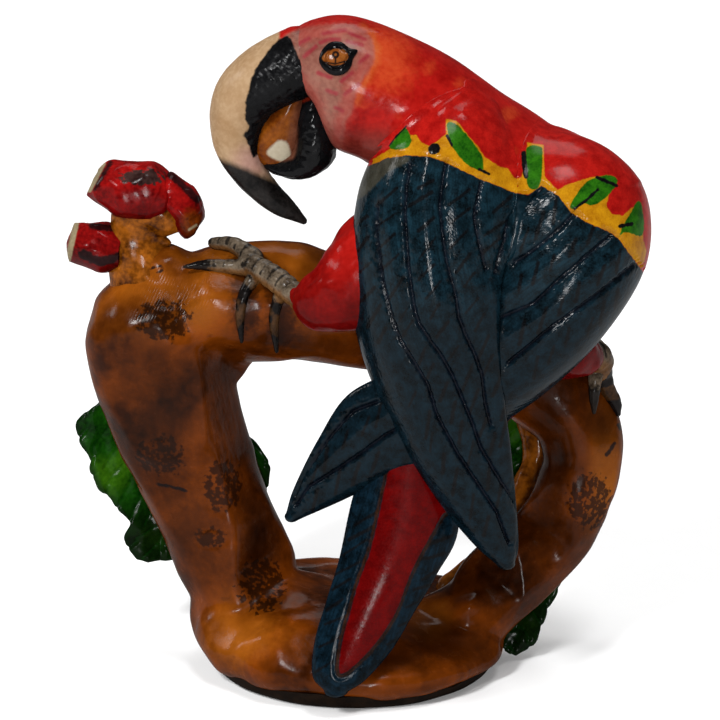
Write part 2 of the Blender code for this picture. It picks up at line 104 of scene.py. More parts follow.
LOWER_BEAK = at_depth(-5.0, [
    (-3.3, 53.1, -1.3, 53.2, 3.5), (-3.7, 51.6, -0.7, 51.6, 5.5), (-3.9, 50.2, -0.4, 50.0, 6.2),
    (-4.1, 49.0, -0.5, 47.8, 6.2), (-4.7, 48.3, -2.3, 46.4, 5.6), (-5.5, 48.0, -4.3, 46.3, 4.6),
    (-6.3, 48.0, -6.0, 46.8, 3.0), (-6.6, 47.9, -6.5, 47.5, 1.4),
])
TONGUE = at_depth(-5.0, [
    (-4.9, 53.4, -3.0, 53.4, 3.0), (-6.5, 52.0, -2.8, 51.9, 3.6), (-7.6, 50.4, -2.9, 50.2, 3.6),
    (-7.9, 49.0, -3.2, 48.6, 3.4), (-7.3, 48.0, -4.0, 47.4, 3.0), (-6.6, 47.4, -5.0, 47.0, 2.2),
])
WING_LEFT = [
    ((7.0, -6.0, 53.0), (12.5, -5.8, 53.6), 0.4, 2.0),
    ((4.0, -6.4, 50.4), (14.0, -8.5, 51.5), 2.2, 4.2),
    ((2.0, -6.5, 46.5), (14.6, -11.0, 47.8), 3.2, 5.0),
    ((1.2, -7.2, 42.5), (14.2, -12.8, 43.2), 3.4, 5.0),
    ((0.9, -8.0, 38.5), (13.6, -13.6, 39.0), 3.0, 4.5),
    ((1.4, -9.0, 33.8), (13.5, -14.0, 33.8), 2.4, 4.0),
    ((2.9, -10.0, 29.1), (14.0, -13.6, 28.6), 1.8, 3.4),
    ((5.2, -11.0, 24.4), (14.6, -13.0, 23.8), 1.4, 2.8),
    ((8.3, -11.5, 19.4), (15.1, -12.3, 18.6), 1.0, 2.3),
    ((11.4, -11.5, 15.4), (15.3, -11.7, 15.2), 0.5, 1.9),
    ((13.4, -11.5, 13.5), (15.0, -11.6, 13.7), 0.2, 1.3),
]
WING_RIGHT = [
    ((16.4, -4.5, 50.4), (21.9, -2.5, 47.2), 0.4, 2.2),
    ((14.8, -8.5, 49.2), (24.6, -2.0, 44.6), 2.0, 4.2),
    ((14.0, -11.0, 46.8), (26.1, -3.0, 41.8), 3.0, 5.0),
    ((13.4, -12.0, 42.5), (25.6, -5.0, 37.8), 3.2, 5.0),
    ((12.0, -12.2, 37.5), (22.1, -7.5, 32.8), 2.6, 4.4),
    ((9.1, -11.6, 33.0), (17.8, -9.0, 28.6), 1.8, 3.6),
    ((4.8, -10.6, 30.7), (13.9, -10.0, 25.8), 1.2, 3.0),
    ((0.6, -9.5, 28.1), (9.6, -10.2, 22.8), 1.0, 2.6),
    ((-2.0, -9.0, 23.8), (4.8, -9.6, 20.9), 0.8, 2.3),
    ((-4.0, -8.6, 19.4), (0.0, -8.9, 18.3), 0.5, 1.9),
    ((-4.7, -8.5, 17.0), (-3.6, -8.5, 16.5), 0.2, 1.3),
]
TAIL = [
    ((2.6, -8.6, 24.0), (9.4, -8.6, 23.6), 0.8, 3.0),
    ((1.0, -9.5, 18.6), (10.2, -9.5, 16.2), 0.9, 2.8),
    ((-0.1, -10.5, 13.6), (8.3, -10.5, 12.1), 0.8, 2.5),
    ((-1.2, -11.5, 10.1), (6.3, -11.5, 8.9), 0.7, 2.3),
    ((-2.2, -12.4, 6.8), (4.5, -12.4, 6.0), 0.6, 2.1),
    ((-2.4, -13.2, 3.9), (2.3, -13.2, 3.6), 0.4, 1.8),
    ((-1.4, -13.4, 2.6), (0.7, -13.4, 2.5), 0.2, 1.3),
]
THIGH_LEFT = [
    ((4.8, -6.5, 43.9), (5.3, -6.5, 34.6), 0, 8.0),
    ((1.2, -7.8, 43.4), (2.8, -8.0, 33.9), 0, 8.2),
    ((-0.9, -8.3, 40.7), (0.3, -8.4, 33.6), 0, 7.0),
    ((-2.2, -8.2, 39.0), (-1.5, -8.2, 33.7), 0, 5.6),
    ((-3.2, -7.8, 37.8), (-2.9, -7.7, 34.2), 0, 3.6),
    ((-3.7, -7.5, 37.0), (-3.6, -7.5, 35.4), 0, 1.8),
]
THIGH_RIGHT = [
    ((14.5, -4.5, 28.5), (15.5, -4.5, 36.5), 0, 8.0),
    ((17.5, -4.0, 28.0), (19.0, -4.0, 34.0), 0, 7.4),
    ((19.8, -3.0, 28.0), (21.4, -2.5, 31.2), 0, 5.0),
    ((21.0, -1.5, 28.0), (22.2, -1.0, 29.8), 0, 2.6),
    ((21.8, -1.0, 28.4), (22.2, -0.8, 29.0), 0, 1.2),
]
LEFT_TOES = {
    "shank": [(-3.0, -7.2, 35.6, 1.05), (-5.4, -5.0, 37.0, 1.15), (-7.8, -2.9, 37.9, 1.0)],
    "side_toe": [
        (-7.2, -3.2, 37.6, 0.95),
        (-9.4, -2.7, 37.5, 0.68),
        (-11.2, -2.6, 37.6, 0.56),
        (-12.3, -2.7, 37.6, 0.4),
        (-13.4, -2.8, 37.5, 0.18),
    ],
    "top_toe": [(-7.4, -2.5, 38.2, 0.95), (-9.2, -0.9, 38.9, 0.75), (-11.0, 0.4, 38.7, 0.55)],
    "front_claw": [
        (-6.9, -3.4, 37.4, 0.75),
        (-8.2, -4.2, 35.6, 0.55),
        (-8.6, -4.5, 33.6, 0.45),
        (-8.5, -4.2, 31.2, 0.2),
    ],
    "inner_claw": [
        (-4.8, -5.2, 36.4, 0.75),
        (-5.4, -4.5, 34.8, 0.55),
        (-5.7, -4.3, 33.0, 0.48),
        (-5.5, -3.9, 30.2, 0.2),
    ],
}
RIGHT_TOES = {
    "shank": [(20.8, -1.8, 29.2, 1.3), (22.3, 0.0, 28.4, 1.5), (22.6, 0.6, 27.2, 1.3)],
    "front_claw": [
        (22.4, 0.2, 27.6, 1.0),
        (22.2, -0.7, 26.6, 0.65),
        (22.1, -1.2, 25.2, 0.5),
        (22.1, -1.3, 23.8, 0.22),
    ],
    "side_claw": [
        (22.8, 0.8, 27.2, 1.0),
        (23.3, 1.0, 25.4, 0.75),
        (24.1, 1.5, 23.8, 0.6),
        (24.4, 1.8, 22.6, 0.28),
    ],
    "back_toe": [(22.4, 0.6, 27.6, 1.2), (22.4, 3.6, 28.1, 0.95), (21.8, 6.2, 27.0, 0.5)],
}

# ---------------------------------------------------------------- the branch's forms
TRUNK = [
    (-7.0, -1.0, 4.6, 2.8),
    (-8.0, -0.4, 6.8, 4.6),
    (-9.2, 0.6, 9.4, 5.1),
    (-10.95, 1.1, 13.4, 5.05),
    (-12.75, 0.9, 18.2, 5.25),
    (-14.7, 0.6, 23.4, 5.7),
    (-15.7, 0.5, 27.8, 6.1),
    (-16.0, 0.5, 31.0, 6.1),
    (-15.6, 0.5, 33.8, 5.0),
    (-15.3, 0.5, 35.8, 3.0),
]
PERCH = [
    (-14.0, 0.5, 31.4, 4.6),
    (-11.6, 0.5, 32.8, 4.9),
    (-8.2, 0.6, 33.4, 5.1),
    (-3.9, 1.0, 33.1, 5.1),
    (2.2, 2.0, 31.5, 4.6),
    (8.3, 3.3, 29.8, 4.5),
    (14.0, 3.8, 27.3, 4.3),
    (18.6, 3.4, 24.2, 4.1),
    (21.1, 2.8, 20.4, 3.7),
    (20.7, 2.0, 16.0, 3.5),
    (18.2, 1.0, 11.4, 3.4),
    (14.6, 0.0, 7.7, 3.7),
    (11.4, -1.0, 5.2, 3.4),
    (8.0, -1.3, 4.6, 2.2),
]
ELBOW = [(-13.0, -0.5, 26.4, 3.6), (-17.5, -0.6, 29.6, 4.4), (-18.0, -0.4, 30.8, 3.9)]
CROOK = [(-11.4, 0.5, 29.6, 2.2), (-9.5, 0.5, 28.3, 2.3), (-7.4, 0.7, 30.0, 2.0)]
TRUNK_CUTS = [  # share of the way up, direction, depth, reach
    (0.30, (-0.2, -1, 0.1), 0.4, 5.0),
    (0.50, (-0.15, -1, 0.05), 0.45, 5.5),
    (0.70, (-0.1, -1, 0.0), 0.4, 4.5),
    (0.35, (0.75, -0.65, 0.1), 0.45, 5.0),
    (0.55, (0.85, -0.5, 0.1), 0.5, 5.0),
]
PERCH_CUTS = [
    (0.14, (0.1, -0.75, 0.65), 0.3, 3.5),
    (0.24, (0.1, -0.9, -0.2), 0.35, 4.0),
    (0.32, (0.1, -0.8, 0.6), 0.3, 4.0),
    (0.40, (0.0, -0.9, -0.3), 0.35, 4.0),
    (0.62, (0.6, -0.8, 0.3), 0.35, 4.0),
    (0.70, (0.6, -0.8, 0.0), 0.35, 4.5),
    (0.70, (-0.5, -0.85, 0.0), 0.45, 4.0),
    (0.79, (0.6, -0.7, -0.4), 0.35, 4.5),
    (0.79, (-0.4, -0.9, 0.2), 0.4, 4.0),
    (0.88, (0.3, -0.95, 0.3), 0.4, 4.0),
]
STUMP = [
    ((13.4, -1.4, 1.0), (-11.2, 1.2, 1.0), 0, 23.4),
    ((14.6, -1.4, 2.2), (-12.6, 1.2, 2.4), 0, 25.4),
    ((14.2, -1.2, 3.6), (-13.2, 1.0, 4.4), 0, 24.4),
    ((11.0, -0.8, 4.9), (-12.5, 0.6, 6.4), 0, 20.0),
    ((5.4, -0.4, 6.1), (-8.0, 0.3, 7.7), 0, 12.0),
    ((1.5, 0, 6.8), (-4.5, 0, 8.0), 0, 5.0),
]
SKIN = [
    ((12.4, -1.4, 0), (-10.2, 1.2, 0), 0, 21.4),
    ((13.3, -1.4, 0.45), (-11.2, 1.2, 0.5), 0, 23.2),
    ((13.7, -1.4, 1.3), (-11.7, 1.2, 1.5), 0, 24.0),
]
VINE = [
    (10.0, 4.5, 4.6, 1.8),
    (13.4, 5.2, 7.8, 1.6),
    (16.2, 6.0, 12.6, 1.5),
    (17.6, 7.2, 17.2, 1.4),
    (16.6, 8.0, 21.2, 1.4),
    (14.0, 7.4, 25.4, 1.4),
    (12.4, 5.4, 28.0, 1.4),
]
LEAVES = {
    "leaf_left": [
        ((-17.6, 5.6, 25.2), (-14.0, 6.6, 25.2), -0.2, 1.2),
        ((-20.6, 5.2, 24.0), (-13.2, 7.2, 23.5), -0.7, 1.5),
        ((-21.6, 5.0, 22.4), (-13.0, 7.3, 22.0), -0.8, 1.6),
        ((-23.4, 4.6, 21.0), (-12.7, 7.4, 20.4), -0.9, 1.8),
        ((-23.2, 4.5, 19.2), (-12.6, 7.4, 18.6), -1.0, 1.8),
        ((-22.4, 4.6, 17.4), (-12.4, 7.3, 16.8), -1.0, 1.8),
        ((-22.1, 4.6, 15.8), (-12.3, 7.2, 15.0), -1.0, 1.8),
        ((-20.6, 5.0, 13.4), (-12.3, 7.0, 12.6), -0.9, 1.7),
        ((-19.0, 5.0, 11.2), (-12.3, 7.0, 10.4), -0.8, 1.6),
        ((-19.4, 5.2, 9.6), (-12.8, 6.6, 8.8), -0.7, 1.5),
        ((-18.4, 5.3, 7.9), (-14.0, 6.2, 7.6), -0.3, 1.1),
    ],
    "leaf_inner": [
        ((-10.6, 6.2, 19.0), (-9.0, 5.9, 19.6), -0.1, 1.0),
        ((-11.0, 6.4, 17.0), (-6.9, 5.2, 18.0), -0.3, 1.3),
        ((-10.8, 6.4, 14.8), (-6.3, 5.0, 15.6), -0.4, 1.4),
        ((-10.4, 6.2, 12.8), (-6.9, 5.0, 13.4), -0.3, 1.2),
        ((-9.6, 5.8, 11.4), (-8.0, 5.3, 11.6), -0.1, 0.9),
    ],
    "leaf_right_upper": [
        ((15.6, 8.4, 21.6), (18.0, 8.6, 21.8), -0.2, 1.1),
        ((14.4, 8.6, 19.0), (20.6, 8.8, 19.4), -0.7, 1.5),
        ((13.8, 8.6, 15.6), (21.4, 8.6, 15.8), -0.8, 1.6),
        ((13.6, 8.4, 12.4), (20.0, 8.4, 12.2), -0.7, 1.5),
        ((14.4, 8.0, 9.6), (17.6, 8.0, 9.2), -0.3, 1.1),
    ],
    "leaf_right_lower": [
        ((18.2, 3.0, 9.4), (20.0, 2.8, 8.6), -0.1, 1.0),
        ((16.4, 3.0, 7.2), (19.4, 2.0, 6.0), -0.3, 1.3),
        ((15.0, 2.2, 5.0), (18.2, 1.2, 3.8), -0.4, 1.4),
        ((14.4, 1.0, 3.0), (17.2, 0.2, 1.6), -0.3, 1.2),
        ((14.3, 0.4, 1.5), (15.7, 0.0, 0.6), -0.1, 0.8),
    ],
}
FLOWER_STALK = at_depth(0.5, [
    (-13.7, 35.8, -20.0, 33.0, 6.0), (-15.3, 38.4, -20.0, 37.0, 4.2), (-15.9, 40.0, -19.9, 39.4, 3.6),
    (-15.3, 42.0, -19.7, 42.0, 3.4), (-16.1, 43.4, -19.1, 43.4, 2.4),
])
STALK_KNOBS = [  # the web under the right bract, and a small stub
    [(-16.6, 0.3, 41.8, 1.8), (-15.0, 0.2, 41.2, 1.7), (-13.7, 0.2, 40.9, 1.2)],
    [(-16.2, 0.2, 39.2, 1.2), (-15.3, 0.1, 38.9, 0.5), (-14.9, 0.0, 38.9, 0.35)],
]
BRACTS = {
    "bract_upper": at_depth(0.5, [
        (-21.8, 43.1, -21.3, 44.4, 2.5), (-20.9, 42.4, -20.1, 45.8, 4.2), (-19.3, 41.2, -18.5, 45.8, 5.4),
        (-17.1, 40.6, -16.7, 45.9, 5.6), (-15.3, 41.2, -15.3, 45.4, 4.8), (-14.6, 42.0, -14.6, 44.4, 3.4),
    ]),
    "bract_right": at_depth(0.3, [
        (-15.9, 42.4, -14.3, 45.0, 3.6), (-14.7, 41.0, -12.5, 43.4, 4.6), (-14.1, 40.0, -11.9, 41.7, 4.6),
        (-13.6, 39.4, -12.1, 40.4, 3.2), (-13.4, 39.3, -12.6, 39.7, 1.8),
    ]),
    "bract_lower": at_depth(0.5, [
        (-18.9, 39.8, -19.3, 36.4, 4.2), (-20.3, 40.4, -20.6, 36.1, 4.8), (-22.0, 40.5, -22.3, 36.5, 4.4),
        (-23.0, 40.4, -23.6, 37.1, 3.4),
    ]),
}

# ---------------------------------------------------------------- what is drawn on the sheet
WING_LINE = [  # the lower edge of the yellow band, where the blue feathers start
    (1.0, 43.0), (2.7, 43.6), (4.1, 44.2), (5.6, 44.4), (7.7, 44.3), (9.1, 43.8), (10.3, 43.2),
    (12.2, 42.3), (13.8, 41.7), (15.0, 41.2), (16.2, 41.0), (17.3, 41.8), (18.8, 40.9), (19.9, 39.5),
    (21.3, 38.6), (23.0, 37.9), (23.9, 37.3), (24.7, 36.2), (25.6, 35.0), (26.6, 33.6),
]
BAND_TOP = [  # its upper edge, from right to left
    (26.6, 35.4), (26.1, 37.1), (26.0, 38.9), (25.5, 40.0), (25.1, 39.9), (24.3, 39.2), (23.4, 39.4),
    (22.9, 40.0), (23.1, 40.9), (23.4, 41.8), (23.1, 42.7), (21.5, 42.5), (20.2, 42.1), (19.4, 41.8),
    (18.7, 41.4), (17.6, 42.6), (17.5, 45.3), (16.1, 45.5), (16.0, 44.0), (15.6, 42.5), (15.0, 42.4),
    (14.4, 43.3), (13.8, 43.4), (12.5, 44.2), (11.9, 45.1), (11.0, 46.1), (10.0, 47.4), (9.1, 47.5),
    (9.1, 46.2), (8.3, 45.6), (7.7, 45.2), (7.0, 45.5), (6.5, 46.2), (5.8, 46.1), (4.4, 45.0),
]
GREEN_MARKS = [
    [(4.2, 45.2), (4.6, 45.7), (5.5, 46.8), (6.0, 46.2), (6.1, 45.5), (5.7, 45.0), (4.6, 44.9)],
    [(9.2, 47.1), (10.1, 47.0), (11.9, 44.9), (12.3, 43.8), (12.2, 43.1), (10.8, 43.7), (9.6, 45.3)],
    [(16.1, 45.1), (17.3, 45.1), (17.4, 44.0), (17.3, 42.3), (16.9, 41.5), (16.2, 41.7), (16.0, 43.1)],
    [(19.8, 40.1), (20.6, 41.4), (21.5, 42.3), (23.2, 42.7), (23.9, 42.1), (22.8, 40.7), (21.7, 40.1),
     (21.0, 40.3), (20.2, 39.8)],
    [(24.0, 37.4), (24.4, 38.4), (24.9, 39.3), (25.7, 40.5), (26.1, 39.3), (26.0, 37.5), (24.6, 37.8)],
]
MANTLE_INK = [  # short strokes of a black pen beside the green marks: half width, then points
    (0.45, [(8.0, 44.9), (8.15, 45.0)]),
    (0.22, [(15.8, 44.6), (15.85, 43.6), (16.0, 42.6)]),
    (0.13, [(12.0, 43.2), (12.8, 42.8)]),
    (0.15, [(22.1, 42.5), (23.8, 41.8)]),
    (0.13, [(20.2, 39.8), (21.5, 40.8), (22.2, 41.5)]),
    (0.16, [(24.1, 38.3), (25.1, 38.5)]),
    (0.08, [(4.2, 45.2), (4.7, 45.9), (5.7, 46.9)]),
    (0.12, [(9.2, 46.1), (9.6, 45.3)]),
]
GREY_SHOULDER = [
    (2.7, 43.7), (4.1, 44.3), (5.8, 44.3), (5.8, 43.8), (4.7, 43.3), (3.8, 42.7), (3.0, 41.8),
    (1.5, 40.6), (0.5, 41.4), (1.0, 43.2),
]
LEFT_GROOVES = [
    [(9.2, 44.0), (8.9, 42.7), (8.6, 40.1), (8.8, 38.0), (9.2, 35.2), (9.9, 32.5), (10.2, 30.5),
     (10.8, 29.0), (11.8, 27.0), (12.4, 25.3), (12.7, 22.8), (13.1, 21.2)],
    [(12.3, 42.0), (11.9, 40.2), (11.7, 39.0), (12.1, 37.0), (12.7, 34.6)],
    [(5.8, 43.8), (5.5, 41.9), (5.4, 39.3), (5.6, 37.0), (5.8, 35.0), (6.4, 31.5), (6.8, 30.0),
     (7.5, 28.9), (8.7, 27.1), (9.7, 25.3), (10.3, 23.9), (11.4, 21.4), (12.2, 19.1), (14.1, 16.1),
     (15.2, 14.8)],
    [(2.9, 40.0), (2.8, 38.0), (3.2, 34.7), (3.7, 32.6), (4.5, 30.0), (5.1, 28.5), (6.4, 26.3),
     (7.5, 24.4), (8.2, 21.9), (10.1, 18.5), (12.0, 15.8), (13.6, 13.6), (14.7, 10.9)],
]
WING_GAP = [  # where the left wing lies over the right one
    (17.2, 41.6), (16.0, 40.5), (14.9, 39.3), (14.4, 38.1), (14.3, 37.0), (13.9, 35.6), (13.6, 34.2),
]
SHOULDER_BRIDGE = [(16.6, 42.4), (15.2, 40.6), (14.4, 38.6), (14.0, 37.0)]
MANTLE_CRESTS = [  # low folds across the red of the back
    [(8.2, 48.0), (9.4, 48.9), (10.8, 49.9), (11.6, 49.9), (13.9, 48.4)],
    [(10.5, 48.1), (12.2, 46.6), (13.8, 45.6)],
    [(23.9, 41.7), (25.0, 42.0), (25.9, 42.2)],
]
RIGHT_GROOVES = [
    [(20.7, 40.0), (19.1, 38.3), (17.3, 36.8), (14.9, 35.1)],
    [(23.5, 37.5), (21.3, 35.7), (19.1, 33.9), (16.6, 31.6), (13.6, 30.4)],
    [(25.6, 34.9), (24.1, 33.7), (21.9, 32.0), (18.0, 29.3), (14.4, 26.4)],
    [(3.0, 23.2), (0.9, 22.4), (-1.3, 20.0), (-3.5, 16.9), (-4.2, 15.2)],
    [(5.7, 21.2), (3.7, 20.1), (2.1, 18.9), (-0.3, 17.3), (-3.0, 15.8), (-4.0, 14.3)],
]
LEFT_LANES = [  # middle lines of the feathers, where pen ticks go
    [(1.6, 39.5), (1.7, 36.0), (2.4, 32.0), (3.6, 28.6)],
    [(4.1, 41.8), (4.1, 37.5), (4.7, 33.0), (5.5, 29.5), (7.3, 26.6), (8.9, 23.6), (10.0, 20.8),
     (12.2, 17.2), (14.2, 14.2)],
    [(7.2, 43.0), (7.0, 39.0), (7.4, 35.0), (8.4, 30.4), (9.8, 27.6), (11.2, 24.4), (12.2, 21.2),
     (14.0, 18.2)],
    [(10.5, 41.4), (10.2, 38.6), (10.8, 34.5), (11.6, 30.6), (12.9, 26.6), (14.0, 22.6), (14.4, 19.0)],
    [(14.0, 40.6), (13.2, 38.4), (12.9, 36.4)],
    [(6.2, 24.0), (7.6, 20.6), (9.6, 17.2), (11.6, 14.2), (13.4, 11.6)],
]
RIGHT_LANES = [
    [(18.6, 39.8), (16.8, 38.0), (15.2, 36.8)],
    [(21.8, 38.0), (20.0, 36.6), (17.8, 34.8), (15.2, 33.0)],
    [(24.3, 35.8), (22.4, 34.2), (20.2, 32.6), (17.4, 30.2), (14.8, 28.6)],
    [(24.6, 32.6), (22.0, 30.4), (18.5, 27.6), (16.0, 25.4)],
    [(4.2, 22.2), (1.0, 20.6), (-1.4, 18.4), (-3.4, 15.8)],
    [(3.4, 18.4), (0.6, 16.6), (-2.4, 14.8)],
]
TAIL_RED = [
    (6.9, 18.6), (4.5, 17.8), (3.8, 15.6), (3.3, 13.4), (2.6, 10.4), (1.5, 7.4), (0.9, 5.2), (0.2, 2.7),
    (-0.1, 0.1), (0.5, -0.1), (2.3, 1.5), (3.8, 3.4), (4.9, 5.3), (5.8, 7.7), (6.7, 9.7), (7.7, 11.5),
    (8.7, 13.3), (9.5, 14.6),
]
TAIL_LANES = [
    [(2.4, 14.4), (1.4, 10.8), (0.2, 7.2), (-0.7, 3.6), (-1.1, 0.4)],
    [(9.4, 12.0), (7.8, 8.6), (6.6, 5.4), (4.6, 2.4)],
]
BEAK_BLACK = [
    (-5.6, 54.1), (-4.4, 54.6), (-3.4, 52.5), (-2.4, 51.2), (-1.0, 50.1), (-1.4, 49.2), (-3.7, 48.8),
    (-4.4, 48.2), (-5.6, 48.1), (-6.1, 47.3), (-6.4, 46.2), (-6.7, 45.1), (-7.3, 44.3), (-7.6, 44.4),
    (-7.8, 45.1), (-8.3, 46.1), (-7.9, 46.8), (-8.2, 47.7), (-8.1, 49.0), (-7.8, 50.5), (-7.3, 51.8),
    (-6.5, 53.0),
]
CROWN = [(-5.2, 54.3), (-4.6, 54.2), (-3.0, 53.0), (0, 50), (4, 50), (4, 62), (-5.6, 62)]
BEAK_TIP = [
    (-11.5, 44.6), (-9.9, 43.9), (-8.0, 43.2), (-6.6, 42.6), (-5.2, 42.0), (0, 40), (0, 30), (-12, 30),
]
GAPE_BROWN = [
    (-4.7, 47.8), (-3.9, 47.6), (-3.7, 46.2), (-3.9, 44.4), (-4.4, 44.0), (-5.4, 44.1), (-5.4, 46.0),
]
GAPE_IVORY = [
    (-6.3, 44.5), (-5.8, 45.3), (-5.2, 45.7), (-4.6, 45.5), (-4.3, 44.7), (-4.4, 44.1), (-5.2, 43.9),
]
GAPE_LINE = [(-5.0, 48.2), (-3.7, 48.9), (-2.2, 49.5)]
FACE = [
    (-5.0, 54.5), (-4.0, 55.1), (-2.4, 55.5), (-0.4, 55.7), (0.8, 55.7), (1.9, 55.2), (2.6, 54.6),
    (2.9, 53.5), (2.8, 52.4), (2.2, 51.3), (1.5, 50.2), (1.2, 49.2), (1.0, 48.1), (0.5, 47.3), (0.3, 46.2),
    (-0.1, 44.8), (-1.6, 45.0), (-2.6, 48.6), (-4.4, 51.4), (-5.6, 53.4),
]
FACE_RIM = [(1.9, 55.4), (2.7, 54.8), (3.1, 53.6), (3.0, 52.4), (2.4, 51.2), (1.7, 50.0), (1.4, 49.0)]
DASHES = [
    [(-3.6, 54.0), (-2.7, 54.5)],
    [(-3.1, 52.9), (-2.1, 53.8)],
    [(-1.7, 54.1), (-0.9, 54.4), (-0.1, 54.4)],
    [(-1.5, 54.9), (0.4, 55.2)],
    [(0.6, 54.2), (1.9, 53.9)],
    [(0.8, 54.9), (2.1, 54.4)],
    [(1.7, 52.4), (2.4, 53.0)],
    [(-1.9, 51.5), (-0.8, 51.1)],
    [(0.1, 50.8), (1.0, 51.5)],
    [(-1.1, 50.0), (-0.3, 49.7)],
    [(0.4, 49.7), (1.6, 50.5)],
    [(-0.4, 48.5), (0.2, 48.2)],
]
EYE_AT = (-0.3, 52.7)
EYE_RIM = [  # round, with a pointed rear corner
    (-1.8, 52.6), (-1.5, 53.5), (-0.8, 54.1), (0.1, 54.1), (0.8, 53.6), (1.5, 53.4), (1.1, 52.7),
    (0.9, 52.0), (0.3, 51.4), (-0.6, 51.3), (-1.4, 51.8),
]
IRIS = [
    (-1.5, 52.7), (-1.0, 53.3), (-0.3, 53.5), (0.4, 53.3), (0.7, 52.8), (0.2, 52.2), (-0.5, 52.1),
    (-1.1, 52.3),
]
PUPIL_AT = (-0.37, 52.95)
PUPIL_STROKES = [(0.07, [(-0.37, 52.75), (-0.37, 52.3)]), (0.06, [(-1.3, 52.4), (-0.4, 52.2), (0.6, 52.45)])]
KNOTS = [  # dark stippled ovals: middle, half width, half height
    ((-15.2, 30.2), 2.2, 1.6),
    ((-15.5, 18.6), 2.0, 1.6),
    ((-10.1, 15.9), 1.6, 2.0),
    ((-11.2, 11.5), 1.3, 0.8),
    ((-6.8, 7.4), 1.8, 2.1),
    ((21.4, 14.6), 1.8, 2.2),
    ((4.2, 4.0), 1.0, 0.5),
]
DARK_STAIN_AND_SHADE = [  # ovals of darker colour, partly stain and partly painted shade under the perch and the right foot, along the right side of the trunk and low on the base: middle, half width, half height
    ((-11.0, 25.6), 4.0, 2.0), ((-9.0, 19.0), 2.2, 7.0), ((-15.4, 21.0), 3.4, 6.0), ((-12.4, 13.0), 3.4, 5.0),
    ((-7.0, 11.0), 2.0, 3.6), ((22.6, 21.0), 2.0, 1.6), ((4.0, 1.0), 5.0, 1.2),
    ((-2.0, 28.0), 5.0, 1.2), ((18.2, 18.0), 2.4, 5.0), ((15.8, 8.4), 3.6, 4.4), ((20.0, 10.0), 2.5, 3.5),
    ((10.0, 2.0), 6.0, 1.8), ((-15.6, 30.4), 2.8, 1.6), ((18.0, 23.0), 2.4, 2.4), ((-13.4, 6.5), 0.9, 3.0),
]
# ovals of lighter colour, partly stain and partly painted light on the lit tops of the elbow and perch:
# middle, half width, half height
LIGHT_STAIN_AND_LIT_TOPS = [
    ((-8.5, 3.4), 2.8, 2.4), ((-15.8, 32.2), 4.6, 2.9), ((-10.0, 35.4), 5.0, 1.6), ((-4.0, 35.4), 3.8, 2.1),
    ((23.2, 16.0), 1.6, 6.0), ((-12.6, 31.0), 1.8, 1.6), ((7.5, 5.2), 1.4, 1.6),
]
BRANCH_INK = [
    (0.1, [(-16.6, 34.5), (-16.0, 34.8), (-15.4, 34.9), (-15.3, 34.5), (-15.8, 34.3)]),
    (0.13, [(-15.8, 16.1), (-14.7, 15.9), (-13.2, 15.5)]),
    (0.2, [(24.0, 21.2), (24.2, 20.9)]),
    (0.15, [(23.6, 19.6), (23.2, 18.9), (22.9, 18.6)]),
]
CLAW_STAIN = [(-8.6, 35.0), (-8.2, 33.2), (-8.1, 30.4)], [(-5.9, 33.6), (-5.2, 31.6), (-4.9, 29.0)]
NOWHERE = ((-30.0, 0.0), 1.0, 1.0)
BRACT_MARKS = {  # ivory faces and ink: half width, then points
    "bract_upper": {
        "ivory": [(0.2, [(-21.6, 41.4), (-20.4, 43.7)])],
        "ink": [(0.18, [(-21.1, 41.5), (-19.8, 43.8)])],
        "oval": ((-17.0, 42.5), 1.9, 0.65),
    },
    "bract_right": {
        "ivory": [(0.1, [(-13.0, 38.0), (-12.4, 38.4)])],
        "ink": [(0.32, [(-15.4, 43.4), (-13.6, 41.9), (-12.3, 40.6)])],
        "oval": NOWHERE,
    },
    "bract_lower": {
        "ivory": [(0.25, [(-23.5, 35.2), (-22.7, 38.8)])],
        "ink": [
            (0.4, [(-22.2, 35.9), (-20.6, 35.2), (-18.4, 35.9)]),
            (0.28, [(-21.4, 38.3), (-19.4, 38.1)]),
        ],
        "oval": NOWHERE,
    },
}
HEAD_EDGE = 6.0  # the marks of the head lie left of this
# the height below which the face and body are painted darker, as painted shade
CHIN = 46.2
CHEEK = ((4.0, 52.6), 1.9, 2.4)  # an oval of orange behind the face
BEAK_BLUSH = ((-7.4, 43.9), 1.6, 1.2)
TOOLED = ((-15.2, 32.4), 3.0, 1.7)  # fine tool strokes on the elbow
TOOL_TILT = 0.45  # radians
TOOL_SPACING = 0.24
RIPE_SPOT = ((-12.7, 38.5), 1.0, 1.2)
BELLY_AT, BELLY_REACH, BELLY_HEIGHT = (7.9, 31.2), (3.2, 4.2), 0.75  # a swelling of the left wing
BARB_SPACING = 0.3
BAND_SPACING = 0.95  # from scale to scale on the toes


def sheet(points):
    """Where points, in mm, show on the drawing sheet."""
    ray = points - EYE
    scale = DISTANCE / (ray @ FORWARD)
    return np.stack([ray[:, 0] * scale, (ray @ UP) * scale], 1) + SHEET_ORIGIN


def facing(normals):
    """1 on the side that shows on the sheet, 0 on the far side."""
    return np.clip(-(normals @ FORWARD) * 3 + 0.2, 0, 1)


def hidden(normals):
    """FAR on the side that does not show on the sheet, 0 on the near side."""
    return (1 - facing(normals)) * FAR


def between(a, b, c, d, u):
    """The smooth curve from b to c at u, from 0 to 1 (Catmull-Rom)."""
    return 0.5 * (2 * b + (c - a) * u + (2 * a - 5 * b + 4 * c - d) * u**2 + (3 * b - a - 3 * c + d) * u**3)


def along(rows, t):
    """Points at t, from 0 to 1, of a smooth curve through rows of numbers."""
    rows = np.asarray(rows, float)
    last = len(rows) - 1
    rows = np.vstack([2 * rows[0] - rows[1], rows, 2 * rows[-1] - rows[-2]])
    i = np.minimum((t * last).astype(int), last - 1)
    u = (t * last - i)[:, None]
    return between(*(rows[i + k] for k in range(4)), u)


def rounded(outline, steps=5):
    """A closed outline with its corners eased."""
    ring = np.asarray(outline, float)
    count = len(ring)
    u = (np.arange(steps) / steps)[:, None]
    return np.vstack([between(*(ring[(i + k) % count] for k in (-1, 0, 1, 2)), u) for i in range(count)])


